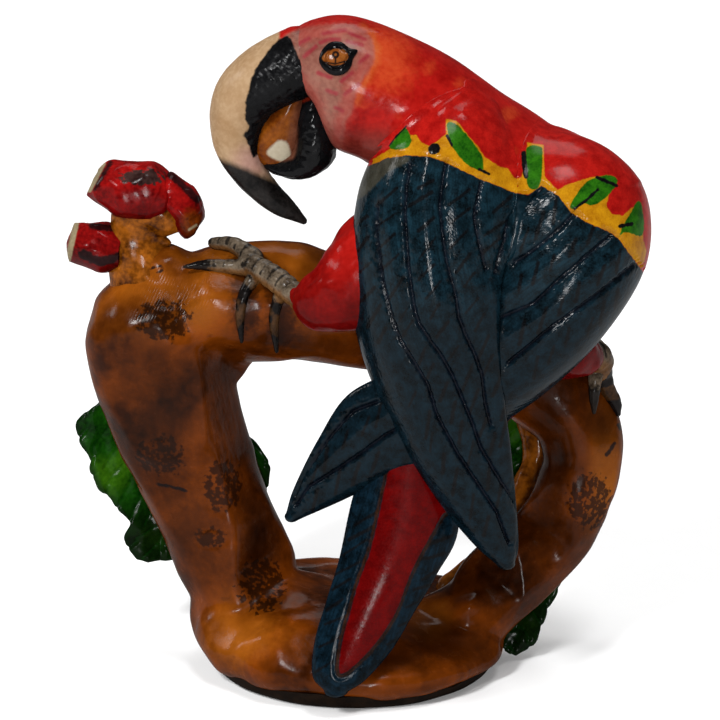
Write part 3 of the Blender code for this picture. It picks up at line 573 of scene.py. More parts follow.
def line_distance(points, line):
    """Distance from each point to a line of straight runs, and how far along it the nearest place is."""
    line = np.asarray(line, float)
    best, place, run = np.full(len(points), 1e9), np.zeros(len(points)), 0.0
    for a, b in zip(line, line[1:]):
        step = b - a
        length = np.linalg.norm(step)
        u = np.clip((points - a) @ step / length**2, 0, 1)
        gap = np.linalg.norm(points - a - u[:, None] * step, axis=1)
        nearer = gap < best
        best[nearer], place[nearer] = gap[nearer], (run + u * length)[nearer]
        run += length
    return best, place


def outline_distance(points, outline):
    """Distance to a closed outline, negative inside."""
    ring = np.vstack([outline, outline[:1]])
    gap, _ = line_distance(points, ring)
    inside = np.zeros(len(points), bool)
    x, y = points.T
    for (x0, y0), (x1, y1) in zip(ring, ring[1:]):
        if y0 != y1:
            inside ^= ((y0 > y) != (y1 > y)) & (x < (x1 - x0) * (y - y0) / (y1 - y0) + x0)
    return np.where(inside, -gap, gap)


def area_distance(points, outlines):
    """Distance to the nearest of some eased outlines, negative inside one."""
    return np.min([outline_distance(points, rounded(o)) for o in outlines], axis=0)


def stroke_distance(points, strokes):
    """Distance to the nearest edge of strokes, each (half width, points)."""
    return np.min([line_distance(points, line)[0] - half for half, line in strokes], axis=0)


def oval_distance(points, *ovals):
    """How far out of the nearest oval, as a share of its size, negative inside. Each oval is its middle,
    its half width and its half height."""
    gaps = [np.linalg.norm((points - middle) / (wide, high), axis=1) - 1 for middle, wide, high in ovals]
    return np.min(gaps, axis=0)


def bell(distance, width):
    """1 at no distance, falling off smoothly over a width."""
    return np.exp(-((distance / width) ** 2))


def lumps(points, size, seed):
    """Smooth noise over points, about -1 to 1, with bumps of that size."""
    rng = np.random.default_rng(seed)
    total = np.zeros(len(points))
    for _ in range(14):
        wave = rng.normal(size=points.shape[1])
        wave *= 2 * math.pi / size / np.linalg.norm(wave) * rng.uniform(0.6, 1.5)
        total += np.sin(points @ wave + rng.uniform(0, 6.28))
    return total / 4


# ---------------------------------------------------------------- meshes
def grid_faces(rings, sides):
    """Quads between rings of vertices, which come after a first pole and before a last one."""
    faces = []
    for r in range(rings - 1):
        a, b = 1 + r * sides, 1 + (r + 1) * sides
        faces += [(a + k, a + (k + 1) % sides, b + (k + 1) % sides, b + k) for k in range(sides)]
    end = 1 + rings * sides
    last = end - sides
    faces += [(0, 1 + (k + 1) % sides, 1 + k) for k in range(sides)]
    faces += [(end, last + k, last + (k + 1) % sides) for k in range(sides)]
    return faces


CAP = np.radians((0, 22, 42, 60, 75))  # where the rings of a domed end lie


def turns(sides, front=0.5):
    """Angles around a section. A share of them above a half goes on its outer face, evenly across it."""
    if front == 0.5:
        return 2 * np.pi * np.arange(sides) / sides
    near = round(sides * front)
    outer, inner = (np.arange(n) / n for n in (near, sides - near))
    even = [0.35 * np.pi * u + 0.65 * np.arccos(1 - 2 * u) for u in (outer, inner)]
    return np.concatenate([even[0], np.pi + even[1]])


def closed_form(centre, half, outward, depth, angle, round_by=1.0):
    """Vertices and faces through sections: each is a middle, a half width and a depth for each angle.
    The ends are domed by round_by times the smaller half size of the end section."""
    sides = len(angle)
    heading = np.gradient(centre, axis=0)
    heading /= np.linalg.norm(heading, axis=1)[:, None]
    parts = []
    for end, sign, lifts in ((0, -1, CAP[:0:-1]), (len(centre) - 1, 1, CAP[1:])):
        reach = min(np.linalg.norm(half[end]), np.ptp(depth[end]) / 2) * round_by
        rings = [
            centre[end] + sign * heading[end] * reach * math.sin(a)
            + (half[end] * np.cos(angle)[:, None] + outward[end] * depth[end][:, None]) * math.cos(a)
            for a in lifts
        ]
        parts.append((centre[end] + sign * heading[end] * reach, rings))
    body = centre[:, None] + half[:, None] * np.cos(angle)[:, None] + outward[:, None] * depth[..., None]
    rings = np.vstack([np.array(parts[0][1]), body, np.array(parts[1][1])])
    points = np.vstack([parts[0][0], rings.reshape(-1, 3), parts[1][0]])
    return points, grid_faces(len(rings), sides)


def loft(table, rings, sides, ease=0.5, round_by=1.0, front=0.5):
    """A carved form through the elliptical sections of a table, as in the CAD model."""
    rows = np.array([[*a, *b, camber, thickness] for a, b, camber, thickness in table], float)
    t = np.linspace(0, 1, rings)
    t = (1 - ease) * t + ease * (1 - np.cos(np.pi * t)) / 2
    samples = along(rows, t)
    left, right, camber, thickness = samples[:, :3], samples[:, 3:6], samples[:, 6:7], samples[:, 7:]
    centre, half = (left + right) / 2, (right - left) / 2
    outward = np.cross(np.gradient(centre, axis=0), half)
    outward /= np.linalg.norm(outward, axis=1)[:, None]
    angle = turns(sides, front)
    depth = camber * (1 - np.cos(angle) ** 2) + thickness / 2 * np.sin(angle)
    return closed_form(centre, half, outward, depth, angle, round_by)


def sweep(table, rings, sides, swell=None):
    """A round, tapering stem through the rows of a table."""
    samples = along(table, np.linspace(0, 1, rings))
    centre, radius = samples[:, :3], samples[:, 3]
    if swell is not None:
        run = np.concatenate([[0], np.cumsum(np.linalg.norm(np.diff(centre, axis=0), axis=1))])
        radius = radius * swell(run)
    heading = np.gradient(centre, axis=0)
    heading /= np.linalg.norm(heading, axis=1)[:, None]
    side = np.cross(heading[0], (0.3, 1.0, 0.2))
    halves = []
    for h in heading:
        side = side - h * (side @ h)
        side /= np.linalg.norm(side)
        halves.append(side)
    half = np.array(halves) * radius[:, None]
    outward = np.cross(heading, np.array(halves))
    angle = turns(sides)
    return closed_form(centre, half, outward, radius[:, None] * np.sin(angle), angle)


def turned_out(points, faces):
    """The faces of a closed form, all turned over if its volume comes out negative, so that they face out."""
    volume = 0.0
    for corners in (3, 4):
        index = np.array([f for f in faces if len(f) == corners], int).reshape(-1, corners)
        for k in range(1, corners - 1):
            a, b, c = (points[index[:, i]] for i in (0, k, k + 1))
            volume += np.einsum("ij,ij->i", a, np.cross(b, c)).sum()
    return faces if volume > 0 else [f[::-1] for f in faces]


def new_object(name, data):
    obj = bpy.data.objects.new(name, data)
    bpy.context.scene.collection.objects.link(obj)
    return obj


def new_mesh(name, points, faces):
    """A mesh object from points in mm."""
    mesh = bpy.data.meshes.new(name)
    mesh.from_pydata((points * MM).tolist(), [], faces)
    return new_object(name, mesh)


def add_piece(name, points, faces):
    """A smooth-shaded mesh object from points in mm, its faces turned outward."""
    obj = new_mesh(name, points, turned_out(points, faces))
    obj.data.shade_smooth()
    return obj


def fuse(name, forms, voxel):
    """Overlapping closed forms as one skin of small even faces."""
    points, faces, start = [], [], 0
    for form_points, form_faces in forms:
        faces += [tuple(i + start for i in f) for f in turned_out(form_points, form_faces)]
        points.append(form_points)
        start += len(form_points)
    rough = new_mesh(name + "_parts", np.vstack(points), faces)
    modifier = rough.modifiers.new("skin", "REMESH")
    modifier.mode = "VOXEL"
    modifier.voxel_size = voxel * MM
    graph = bpy.context.evaluated_depsgraph_get()
    fused = bpy.data.meshes.new_from_object(rough.evaluated_get(graph))
    bpy.data.objects.remove(rough, do_unlink=True)
    fused.name = name
    fused.shade_smooth()
    return new_object(name, fused)


def points_of(obj):
    flat = np.empty(len(obj.data.vertices) * 3, np.float32)
    obj.data.vertices.foreach_get("co", flat)
    return flat.reshape(-1, 3).astype(float) / MM


def normals_of(obj):
    flat = np.empty(len(obj.data.vertices) * 3, np.float32)
    obj.data.vertex_normals.foreach_get("vector", flat)
    return flat.reshape(-1, 3).astype(float)


def place(obj, points):
    obj.data.vertices.foreach_set("co", (points * MM).astype(np.float32).ravel())
    obj.data.update()


def push(obj, depth):
    """Moves each vertex out along its normal by depth, in mm."""
    place(obj, points_of(obj) + normals_of(obj) * depth[:, None])


def relax(obj, times, share=None):
    """Evens the surface out, fully or by a share for each vertex."""
    edges = np.empty(len(obj.data.edges) * 2, np.int32)
    obj.data.edges.foreach_get("vertices", edges)
    a, b = edges.reshape(-1, 2).T
    points = points_of(obj)
    count = np.bincount(a, minlength=len(points)) + np.bincount(b, minlength=len(points))
    share = np.ones(len(points)) if share is None else share
    for _ in range(times):
        mean = np.stack(
            [
                np.bincount(a, points[b, k], len(points)) + np.bincount(b, points[a, k], len(points))
                for k in range(3)
            ],
            1,
        ) / count[:, None]
        points += (mean - points) * 0.6 * share[:, None]
    place(obj, points)


def knife_facets(obj, count, strength, seed, limit=0.25):
    """Flattens the surface towards the planes that knife strokes leave."""
    points, normals = points_of(obj), normals_of(obj)
    chosen = np.random.default_rng(seed).choice(len(points), count, replace=False)
    tree = KDTree(count)
    for i, v in enumerate(chosen):
        tree.insert(Vector(points[v]), i)
    tree.balance()
    near = chosen[[tree.find(Vector(p))[1] for p in points]]
    plane = np.einsum("ij,ij->i", points[near] - points, normals[near])
    agree = np.clip(np.einsum("ij,ij->i", normals[near], normals) * 2 - 1, 0, 1)
    place(obj, points + normals * (np.clip(plane, -limit, limit) * strength * agree)[:, None])
    relax(obj, 2)


def whittle(obj, table, cuts):
    """Flat cuts along a stem: (share of the way along it, direction, depth in mm, reach in mm)."""
    points = points_of(obj)
    for share, direction, depth, reach in cuts:
        *middle, radius = along(table, np.array([share]))[0]
        normal = np.array(direction, float)
        normal /= np.linalg.norm(normal)
        touch = np.array(middle) + normal * (radius - depth)
        proud = np.maximum((points - touch) @ normal, 0)
        near = np.clip(2 - np.linalg.norm(points - touch, axis=1) / reach, 0, 1)
        points -= normal * (proud * near * (proud < 3))[:, None]
    place(obj, points)
    relax(obj, 2)


def blue_distance(spot):
    """Distance on the sheet to the feathers below the yellow band, negative among them."""
    return outline_distance(spot, [(-30, 43.0), *WING_LINE, (40, 25), (40, -20), (-30, -20)])


def shoulder_share(spot):
    """1 where one surface runs over body and wings: above the feathers, and at the top of the wing gap."""
    bridge = 1.6 - line_distance(spot, SHOULDER_BRIDGE)[0] / 1.5
    return np.clip(np.maximum((blue_distance(spot) - 0.2) / 1.2, bridge), 0, 1)


def blend_shoulders(body, wings):
    """Fills the valleys where the red tops of the wings grow out of the body, so that one even surface
    runs over all three. Each piece keeps its own mesh, and they meet on that surface."""
    forms = [(points_of(o), [tuple(p.vertices) for p in o.data.polygons]) for o in (body, *wings)]
    skin = fuse("shoulders", forms, 0.3)
    relax(skin, 3)
    before, normals = points_of(skin), normals_of(skin)
    red = shoulder_share(sheet(before))
    relax(skin, 320, red)
    fill = np.einsum("ij,ij->i", points_of(skin) - before, normals)
    place(skin, before + normals * np.clip(fill, 0, 2.5)[:, None])
    relax(skin, 12, red)
    tree = BVHTree.FromObject(skin, bpy.context.evaluated_depsgraph_get())
    for obj, sink in ((body, 0.05), *((w, 0.0) for w in wings)):
        points = points_of(obj)
        red = shoulder_share(sheet(points))
        for i in np.nonzero(red)[0]:
            hit, normal, _, gap = tree.find_nearest(Vector(points[i] * MM))
            near = min(max(1.9 - gap / MM / 1.1, 0), 1)
            target = np.array(hit - normal * sink * MM) / MM
            points[i] += (target - points[i]) * red[i] * near * near * (3 - 2 * near)
        place(obj, points)
        crest = np.min([line_distance(sheet(points), line)[0] for line in MANTLE_CRESTS], axis=0)
        push(obj, 0.1 * bell(crest, 0.3) * facing(normals_of(obj)))
    bpy.data.objects.remove(skin, do_unlink=True)


def store(obj, name, values):
    """Keeps one number, or one vector, per vertex for the material."""
    values = np.asarray(values, np.float32)
    kind, field = ("FLOAT_VECTOR", "vector") if values.ndim == 2 else ("FLOAT", "value")
    obj.data.attributes.new(name, kind, "POINT").data.foreach_set(field, values.ravel())


# ---------------------------------------------------------------- materials
def feed(tree, socket, value):
    """Links a socket to another, or sets it to a number, a vector or a colour."""
    if isinstance(value, bpy.types.NodeSocket):
        tree.links.new(value, socket)
    else:
        socket.default_value = (*value, 1) if socket.type == "RGBA" and len(value) == 3 else value


def add_node(tree, kind, inputs=None, **settings):
    made = tree.nodes.new(kind)
    for key, value in settings.items():
        setattr(made, key, value)
    for key, value in (inputs or {}).items():
        feed(tree, made.inputs[key], value)
    return made


def mix_colours(tree, factor, a, b):
    made = tree.nodes.new("ShaderNodeMix")
    made.data_type = "RGBA"
    for socket, value in ((made.inputs[0], factor), (made.inputs[6], a), (made.inputs[7], b)):
        feed(tree, socket, value)
    return made.outputs[2]


def stored(tree, name, output="Fac"):
    """What store() kept on the piece under a name."""
    return add_node(tree, "ShaderNodeAttribute", attribute_name=name).outputs[output]


def noise(tree, where, size, detail=2.0):
    inputs = {"Vector": where, "Scale": 1 / size, "Detail": detail}
    return add_node(tree, "ShaderNodeTexNoise", inputs).outputs[0]


def ramp(tree, value, low, high, start=0.0, end=1.0, **settings):
    """A value from low to high, turned into one from start to end."""
    inputs = {"Value": value, "From Min": low, "From Max": high, "To Min": start, "To Max": end}
    return add_node(tree, "ShaderNodeMapRange", inputs, **settings).outputs[0]


def patches(tree, where, size, detail=3.0, low=0.35, high=0.65):
    """Noise with patches of a size in mm, stretched to run from 0 to 1."""
    return ramp(tree, noise(tree, where, size, detail), low, high)


def bump(tree, height, depth, normal=None):
    """A normal raised by a height, over a depth in mm, on top of another normal."""
    inputs = {"Height": height, "Distance": depth * MM, "Strength": 1.0}
    if normal:
        inputs["Normal"] = normal
    return add_node(tree, "ShaderNodeBump", inputs).outputs[0]


def scaled(tree, vector, factors):
    """A vector socket times three numbers."""
    return add_node(tree, "ShaderNodeVectorMath", {0: vector, 1: factors}, operation="MULTIPLY").outputs[0]


def arithmetic(tree, operation, *terms, clamp=False):
    inputs = dict(enumerate(terms))
    return add_node(tree, "ShaderNodeMath", inputs, operation=operation, use_clamp=clamp).outputs[0]


WOBBLE_SIZE = 0.45  # mm between the shakes of a painted edge


def paint(
    name, base, layers=(), patch=2.5, fine=0.35, flow=None, roughness=(0.1, 0.22), sheen=0.2,
    bumps=((1.2, 0.02), (0.28, 0.006)), ridges=None,
):
    """A painted, varnished surface. base is its dark and light colour, mixed by patches of a size in mm and
    by finer ones, whose share is fine. Each layer is (attribute, dark, light, edge, wobble, cover): it covers
    where the attribute is negative, over an edge in mm, moved by a wobble in mm, as fully as cover says.
    flow is (attribute, width, length, share, depth, where): brush strokes lie along the piece, darken it by
    that share, and show where the attribute named last is negative. The gloss is a thin varnish: sheen is
    its weight, and roughness its range. ridges is (phase, where, depth): fine waves of a stored phase, where
    the second attribute is negative."""
    material = bpy.data.materials.new(name)
    material.use_nodes = True
    tree = material.node_tree
    shader = tree.nodes["Principled BSDF"]
    spot = add_node(tree, "ShaderNodeTexCoord").outputs["Object"]
    spot = scaled(tree, spot, (1 / MM,) * 3)
    small = patches(tree, spot, patch / 6, 2.0)
    tone = arithmetic(tree, "MULTIPLY", patches(tree, spot, patch), 1 - fine)
    tone = arithmetic(tree, "MULTIPLY_ADD", small, fine, tone)
    ground, stroke = tone, None
    if flow:
        attribute, width, length, share, depth, where = flow
        lie = scaled(tree, stored(tree, attribute, "Vector"), (1 / width, 1 / width, 1 / length))
        stroke = patches(tree, lie, 1.0, 2.0, 0.3, 0.7)
        dim = arithmetic(tree, "MULTIPLY_ADD", stroke, share, 1 - share / 2)
        ground = arithmetic(tree, "MULTIPLY", tone, dim, clamp=True)
    colour = mix_colours(tree, ground, *base)
    shake = arithmetic(tree, "SUBTRACT", noise(tree, spot, WOBBLE_SIZE, 3.0), 0.5)
    for attribute, dark, light, edge, wobble, cover in layers:
        moved = arithmetic(tree, "MULTIPLY_ADD", shake, wobble, stored(tree, attribute))
        mask = ramp(tree, moved, -edge, edge, cover, 0.0, interpolation_type="SMOOTHSTEP")
        colour = mix_colours(tree, mask, colour, mix_colours(tree, tone, dark, light))
    tree.links.new(colour, shader.inputs["Base Color"])
    feed(tree, shader.inputs["Coat Roughness"], ramp(tree, small, 0.0, 1.0, *roughness))
    normal = None
    for size, height in bumps:
        normal = bump(tree, noise(tree, spot, size), height, normal)
    if stroke:
        shows = arithmetic(tree, "LESS_THAN", stored(tree, where), 0.0)
        normal = bump(tree, arithmetic(tree, "MULTIPLY", stroke, shows), depth, normal)
    if ridges:
        phase, where, depth = ridges
        wave = arithmetic(tree, "SINE", arithmetic(tree, "MULTIPLY_ADD", shake, 5.0, stored(tree, phase)))
        fade = ramp(tree, stored(tree, where), -0.6, 0.6, 1.0, 0.0)
        normal = bump(tree, arithmetic(tree, "MULTIPLY", wave, fade), depth, normal)
    looks = {
        "Normal": normal, "Coat Normal": normal, "Roughness": 0.6, "Specular IOR Level": 0.0,
        "Coat Weight": sheen, "Coat IOR": 1.4,
    }
    for key, value in looks.items():
        feed(tree, shader.inputs[key], value)
    return material


RED = shade(154, 11, 9), shade(202, 31, 24)
ORANGE = shade(205, 60, 30), shade(224, 94, 46)
YELLOW = shade(178, 112, 10), shade(222, 156, 20)
GREEN = shade(16, 72, 8), shade(52, 124, 18)
NAVY = shade(4, 10, 13), shade(23, 50, 62)
# DEEP_NAVY is the tail's dark blue, and the darker blue of the painted shade low on the wings
DEEP_NAVY = shade(3, 8, 11), shade(13, 30, 40)
BLACK = shade(6, 6, 7), shade(22, 22, 24)
GREY_BROWN = shade(54, 52, 42), shade(84, 80, 66)
IVORY = shade(176, 138, 98), shade(202, 168, 130)
SKIN_PINK = shade(122, 69, 58), shade(164, 114, 98)
MAGENTA = shade(148, 32, 50), shade(168, 52, 66)
AMBER = shade(54, 20, 1), shade(142, 66, 8)
BRIGHT_AMBER = shade(126, 60, 6), shade(192, 108, 26)
UMBER = shade(24, 8, 1), shade(62, 25, 2)
STAIN = shade(12, 5, 2), shade(44, 16, 4)
LEAF = shade(4, 32, 3), shade(28, 88, 12)
SCALE = shade(58, 47, 36), shade(140, 124, 105)
NUT = shade(14, 9, 6), shade(38, 25, 16)
CUT = shade(140, 125, 96), shade(180, 162, 128)
# DARK_RED is the darker red of painted shade: under the body, on the thighs and low on the bracts
DARK_RED = shade(58, 3, 3), shade(100, 7, 8)


def lie_along(points, table, samples=200):
    """Each point as (right, up, run) of the stem that a table gives, for grain that follows it."""
    middle = along(table, np.linspace(0, 1, samples))[:, :3]
    heading = np.gradient(middle, axis=0)
    step = np.linalg.norm(heading, axis=1)
    heading /= step[:, None]
    side = np.cross(heading, (0.0, 1.0, 0.0))
    side /= np.linalg.norm(side, axis=1)[:, None]
    tree = KDTree(samples)
    for i, p in enumerate(middle):
        tree.insert(Vector(p), i)
    tree.balance()
    near = np.array([tree.find(Vector(p))[1] for p in points])
    offset = points - middle[near]
    run = np.cumsum(step)[near] + np.einsum("ij,ij->i", offset, heading[near])
    across = np.einsum("ij,ij->i", offset, side[near])
    up = np.einsum("ij,ij->i", offset, np.cross(heading[near], side[near]))
    return np.stack([across, up, run], 1), np.linalg.norm(offset, axis=1)


def finish(obj, material, node=None):
    obj.data.materials.clear()
    obj.data.materials.append(material)
    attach(obj, "root")
    if node:
        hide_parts(node)


# ---------------------------------------------------------------- the bird
def mark_mantle(obj):
    """The band, green marks and ink across the shoulders, stored on a piece."""
    spot, away = sheet(points_of(obj)), hidden(normals_of(obj))
    store(obj, "band", outline_distance(spot, WING_LINE + BAND_TOP) + away)
    store(obj, "green", area_distance(spot, GREEN_MARKS) + away)
    store(obj, "ink", stroke_distance(spot, MANTLE_INK) + away)
    return spot, away


def paint_body(obj):
    spot, away = mark_mantle(obj)
    head = spot[:, 0] < HEAD_EDGE
    store(obj, "face", np.where(head, outline_distance(spot, rounded(FACE)), FAR))
    store(obj, "feathers", np.where(spot[:, 0] > 9, blue_distance(spot) + away, FAR))
    store(obj, "rim", np.where(head, line_distance(spot, FACE_RIM)[0] - 0.22, FAR))
    store(obj, "dash", np.where(head, stroke_distance(spot, [(0.17, d) for d in DASHES]), FAR))
    blush = np.abs(outline_distance(spot, rounded(FACE)) + 0.5) - 0.6
    store(obj, "blush", np.where(head, blush, FAR))
    # painted shade: the face is painted darker below the chin line
    store(obj, "chin", np.where(head, spot[:, 1] - CHIN, FAR))
    store(obj, "warm", np.minimum(oval_distance(spot, CHEEK), 1.5 - lumps(spot, 3.5, 5)))
    # painted shade: the body is painted darker red below the chin, and lower down further to the right
    store(obj, "under", (spot[:, 1] - CHIN) + np.clip(spot[:, 0] - 3.5, 0, FAR) * 0.6)
    layers = [
        ("warm", *ORANGE, 0.9, 1.2, 0.75),
        # painted shade towards the bottom of the body
        ("under", *DARK_RED, 1.6, 0.5, 0.85),
        ("feathers", *NAVY, 0.06, 0.2, 1.0),
        ("band", *YELLOW, 0.06, 0.25, 1.0),
        ("green", *GREEN, 0.06, 0.2, 1.0),
        ("ink", *BLACK, 0.05, 0.2, 1.0),
        ("rim", shade(205, 95, 22), shade(222, 135, 50), 0.5, 0.5, 0.6),
        ("face", *SKIN_PINK, 0.22, 0.4, 0.95),
        ("blush", shade(196, 74, 66), shade(205, 100, 88), 0.7, 1.2, 0.5),
        ("dash", *MAGENTA, 0.14, 0.2, 0.75),
        # painted shade at the bottom of the face
        ("chin", shade(110, 40, 34), shade(140, 62, 52), 1.4, 0.3, 0.7),
    ]
    finish(obj, paint("scarlet", RED, layers), "body")


def make_eye(name, side, body):
    """A domed painted eye, laid on the head. side is -1 towards the sheet, 1 on the far side."""
    tree = BVHTree.FromObject(body, bpy.context.evaluated_depsgraph_get())
    rings, sides = 26, 72
    angle = 2 * np.pi * np.arange(sides) / sides
    rim = rounded(EYE_RIM, 12)
    rim_angle = np.arctan2(*(rim - EYE_AT).T[::-1]) % (2 * np.pi)
    order = np.argsort(rim_angle)
    reach = np.interp(angle, rim_angle[order], np.linalg.norm(rim - EYE_AT, axis=1)[order], period=2 * np.pi)
    drawn, height = [], []
    for r in np.linspace(0, 1, rings)[1:]:
        drawn.append(EYE_AT + np.stack([np.cos(angle), np.sin(angle)], 1) * (reach * r)[:, None])
        height.append(np.full(sides, 0.10 + 0.32 * math.sqrt(1 - r**2) - 0.2 * (0.55 < r < 0.62)))
    drawn = np.vstack([[EYE_AT], *drawn])
    height = np.concatenate([[0.42], *height])
    points = []
    for (s, t), h in zip(drawn, height):
        ray = FORWARD * DISTANCE + (s - SHEET_ORIGIN[0]) * np.array((1, 0, 0)) + (t - SHEET_ORIGIN[1]) * UP
        start = Vector(EYE * MM) if side < 0 else Vector((EYE + 1.4 * ray) * MM)
        hit, normal, _, _ = tree.ray_cast(start, Vector(ray if side < 0 else -ray).normalized())
        points.append(np.array(hit) / MM + np.array(normal) * h)
    points = np.array(points)
    inner = points + (FORWARD if side < 0 else -FORWARD) * 0.9 * (0.6 + 0.4 * (height[:, None] > 0.12))
    count = len(points)
    faces = [(0, 1 + k, 1 + (k + 1) % sides) for k in range(sides)]
    for r in range(rings - 2):
        a, b = 1 + r * sides, 1 + (r + 1) * sides
        faces += [(a + k, b + k, b + (k + 1) % sides, a + (k + 1) % sides) for k in range(sides)]
    back = [tuple(count + i for i in f[::-1]) for f in faces]
    last = count - sides
    edge = [(last + k, last + (k + 1) % sides) for k in range(sides)]
    wall = [(a, count + a, count + b, b) for a, b in edge]
    obj = add_piece(name, np.vstack([points, inner]), faces + back + wall)
    spot = np.vstack([drawn, drawn])
    store(obj, "iris", outline_distance(spot, rounded(IRIS)))
    pupil = np.minimum(
        np.abs(np.linalg.norm(spot - PUPIL_AT, axis=1) - 0.2) - 0.1,
        stroke_distance(spot, PUPIL_STROKES),
    )
    store(obj, "pupil", pupil)
    layers = [
        ("iris", shade(118, 56, 14), shade(158, 92, 38), 0.05, 0.1, 1.0),
        ("pupil", *BLACK, 0.04, 0.06, 0.95),
    ]
    finish(obj, paint(name + "_paint", BLACK, layers, patch=0.8, roughness=(0.08, 0.16)))


def make_upper_beak():
    obj = add_piece("upper_beak_painted", *loft(UPPER_BEAK, 240, 140, ease=0.3, round_by=0.8))
    knife_facets(obj, 60, 0.3, 21, 0.12)
    points = points_of(obj)
    spot = sheet(points)
    black = outline_distance(spot, rounded(BEAK_BLACK))
    rough = 0.025 * lumps(points, 0.8, 23) + 0.018 * lumps(points, 0.4, 24) + 0.05
    push(obj, rough * np.clip(-black * 3, 0, 1))
    store(obj, "patch", black)
    store(obj, "tip", outline_distance(spot, BEAK_TIP))
    store(obj, "blush", oval_distance(spot, BEAK_BLUSH))
    store(obj, "cap", outline_distance(spot, CROWN))
    store(obj, "face", outline_distance(spot, rounded(FACE)))
    layers = [
        ("blush", shade(190, 140, 130), shade(205, 160, 148), 0.8, 0.4, 0.8),
        ("tip", shade(16, 15, 15), shade(48, 44, 42), 0.35, 0.25, 1.0),
        ("cap", *RED, 0.15, 0.3, 1.0),
        ("face", *SKIN_PINK, 0.2, 0.3, 0.95),
        ("patch", *BLACK, 0.1, 0.35, 1.0),
    ]
    ivory = paint("ivory", IVORY, layers, roughness=(0.18, 0.34), bumps=((2.0, 0.02), (0.3, 0.02)))
    finish(obj, ivory, "upper_beak")


def make_lower_beak():
    obj = add_piece("lower_beak_painted", *loft(LOWER_BEAK, 110, 110, ease=0.3, round_by=0.8))
    knife_facets(obj, 40, 0.3, 22, 0.12)
    push(obj, 0.03 * lumps(points_of(obj), 0.8, 25))
    spot = sheet(points_of(obj))
    store(obj, "gape", outline_distance(spot, rounded(GAPE_BROWN)))
    store(obj, "line", line_distance(spot, GAPE_LINE)[0] - 0.16)
    layers = [
        ("gape", shade(95, 48, 30), shade(140, 88, 66), 0.2, 0.2, 0.95),
        ("line", shade(130, 25, 10), shade(160, 45, 20), 0.12, 0.2, 0.9),
    ]
    ink = paint("beak_black", BLACK, layers, sheen=0.25, bumps=((1.0, 0.03), (0.25, 0.03)))
    finish(obj, ink, "lower_beak")


def make_tongue():
    obj = add_piece("tongue_painted", *loft(TONGUE, 90, 80, round_by=0.4))
    spot = sheet(points_of(obj))
    store(obj, "dot", outline_distance(spot, rounded(GAPE_IVORY)))
    store(obj, "brown", -2.2 - spot[:, 0] * 0.5 + (spot[:, 1] - 46) * 0.1)
    layers = [
        ("brown", shade(96, 48, 30), shade(138, 86, 66), 0.25, 0.3, 0.9),
        ("dot", shade(190, 176, 150), shade(212, 200, 176), 0.15, 0.25, 1.0),
    ]
    gape = paint("gape_amber", (shade(92, 36, 3), shade(156, 84, 18)), layers, patch=2.0)
    finish(obj, gape, "tongue")


def ticks(lanes, angle_at, spacing, length, seed):
    """Slanted pen strokes along the middle of each feather."""
    rng = np.random.default_rng(seed)
    strokes = []
    for lane in lanes:
        lane = np.array(lane, float)
        steps = np.concatenate([[0], np.cumsum(np.linalg.norm(np.diff(lane, axis=0), axis=1))])
        place_at = rng.uniform(0.4, 1.0)
        while place_at < steps[-1]:
            middle = np.array([np.interp(place_at, steps, lane[:, k]) for k in (0, 1)])
            middle += rng.uniform(-0.35, 0.35, 2)
            turn = math.radians(angle_at(middle) + rng.uniform(-9, 9))
            reach = np.array((math.cos(turn), math.sin(turn))) * length * rng.uniform(0.35, 0.6)
            strokes.append((rng.uniform(0.1, 0.18), [middle - reach, middle + reach]))
            place_at += spacing * rng.uniform(0.8, 1.25)
    return strokes


def carve_feathers(obj, grooves, depth=0.32, width=0.17, crown=0.26):
    """Grooves between the feathers, which are crowned, and a swelling of the wing's middle."""
    points, normals = points_of(obj), normals_of(obj)
    spot = sheet(points)
    gap = np.min([line_distance(spot, g)[0] for g in [*grooves, WING_GAP]], axis=0)
    relief = -depth * bell(gap, width) - crown * bell(gap, 1.1)
    rough = 0.05 * lumps(points, 0.6, 8) * bell(gap, 0.5) + 0.007 * lumps(points, 0.5, 9)
    belly = BELLY_HEIGHT * np.exp(-np.sum(((spot - BELLY_AT) / BELLY_REACH) ** 2, axis=1))
    push(obj, (relief + rough + belly) * facing(normals) * (blue_distance(spot) < 0.3))
    # the distance to the grooves also places the painted shade in them
    store(obj, "groove", gap - 0.16 + hidden(normals))


def paint_wing(obj, name, grooves, lanes, angle_at, seed):
    flow_from = points_of(obj)
    carve_feathers(obj, grooves)
    spot, away = mark_mantle(obj)
    blue = blue_distance(spot)
    store(obj, "red", -blue)
    store(obj, "tick", stroke_distance(spot, ticks(lanes, angle_at, 1.9, 2.0, seed)) + away)
    store(obj, "grey", outline_distance(spot, rounded(GREY_SHOULDER)))
    gap, place_on = line_distance(spot, LEFT_GROOVES[0] if name == "wing_left" else RIGHT_GROOVES[2])
    across = np.sign(spot[:, 0] - 14) * gap
    store(obj, "flow", np.stack([across, flow_from[:, 1] * 0.3, place_on], 1))
    store(obj, "blue", blue)
    # painted shade: the feathers are painted darker towards the bottom of the wings
    store(obj, "low", (spot[:, 1] - 32.0) * 0.3)
    store(obj, "barbs", (place_on * 0.8 - gap) / BARB_SPACING * 2 * math.pi)
    layers = [
        # painted shade low on the wing
        ("low", *DEEP_NAVY, 1.6, 0.6, 0.75),
        ("grey", *GREY_BROWN, 0.15, 0.25, 0.8),
        ("tick", *BLACK, 0.08, 0.2, 0.9),
        # painted shade: the carved grooves are darkened in colour as well as cut
        ("groove", shade(4, 6, 12), shade(26, 28, 40), 0.16, 0.2, 0.9),
        ("red", *RED, 0.05, 0.2, 1.0),
        ("band", *YELLOW, 0.06, 0.25, 1.0),
        ("green", *GREEN, 0.06, 0.2, 1.0),
        ("ink", *BLACK, 0.05, 0.2, 1.0),
    ]
    material = paint(
        name + "_feathers", NAVY, layers, patch=0.9, flow=("flow", 0.2, 2.4, 0.8, 0.006, "blue"), sheen=0.22,
        bumps=((0.9, 0.004), (0.25, 0.003)), ridges=("barbs", "blue", 0.0012),
    )
    finish(obj, material, name)


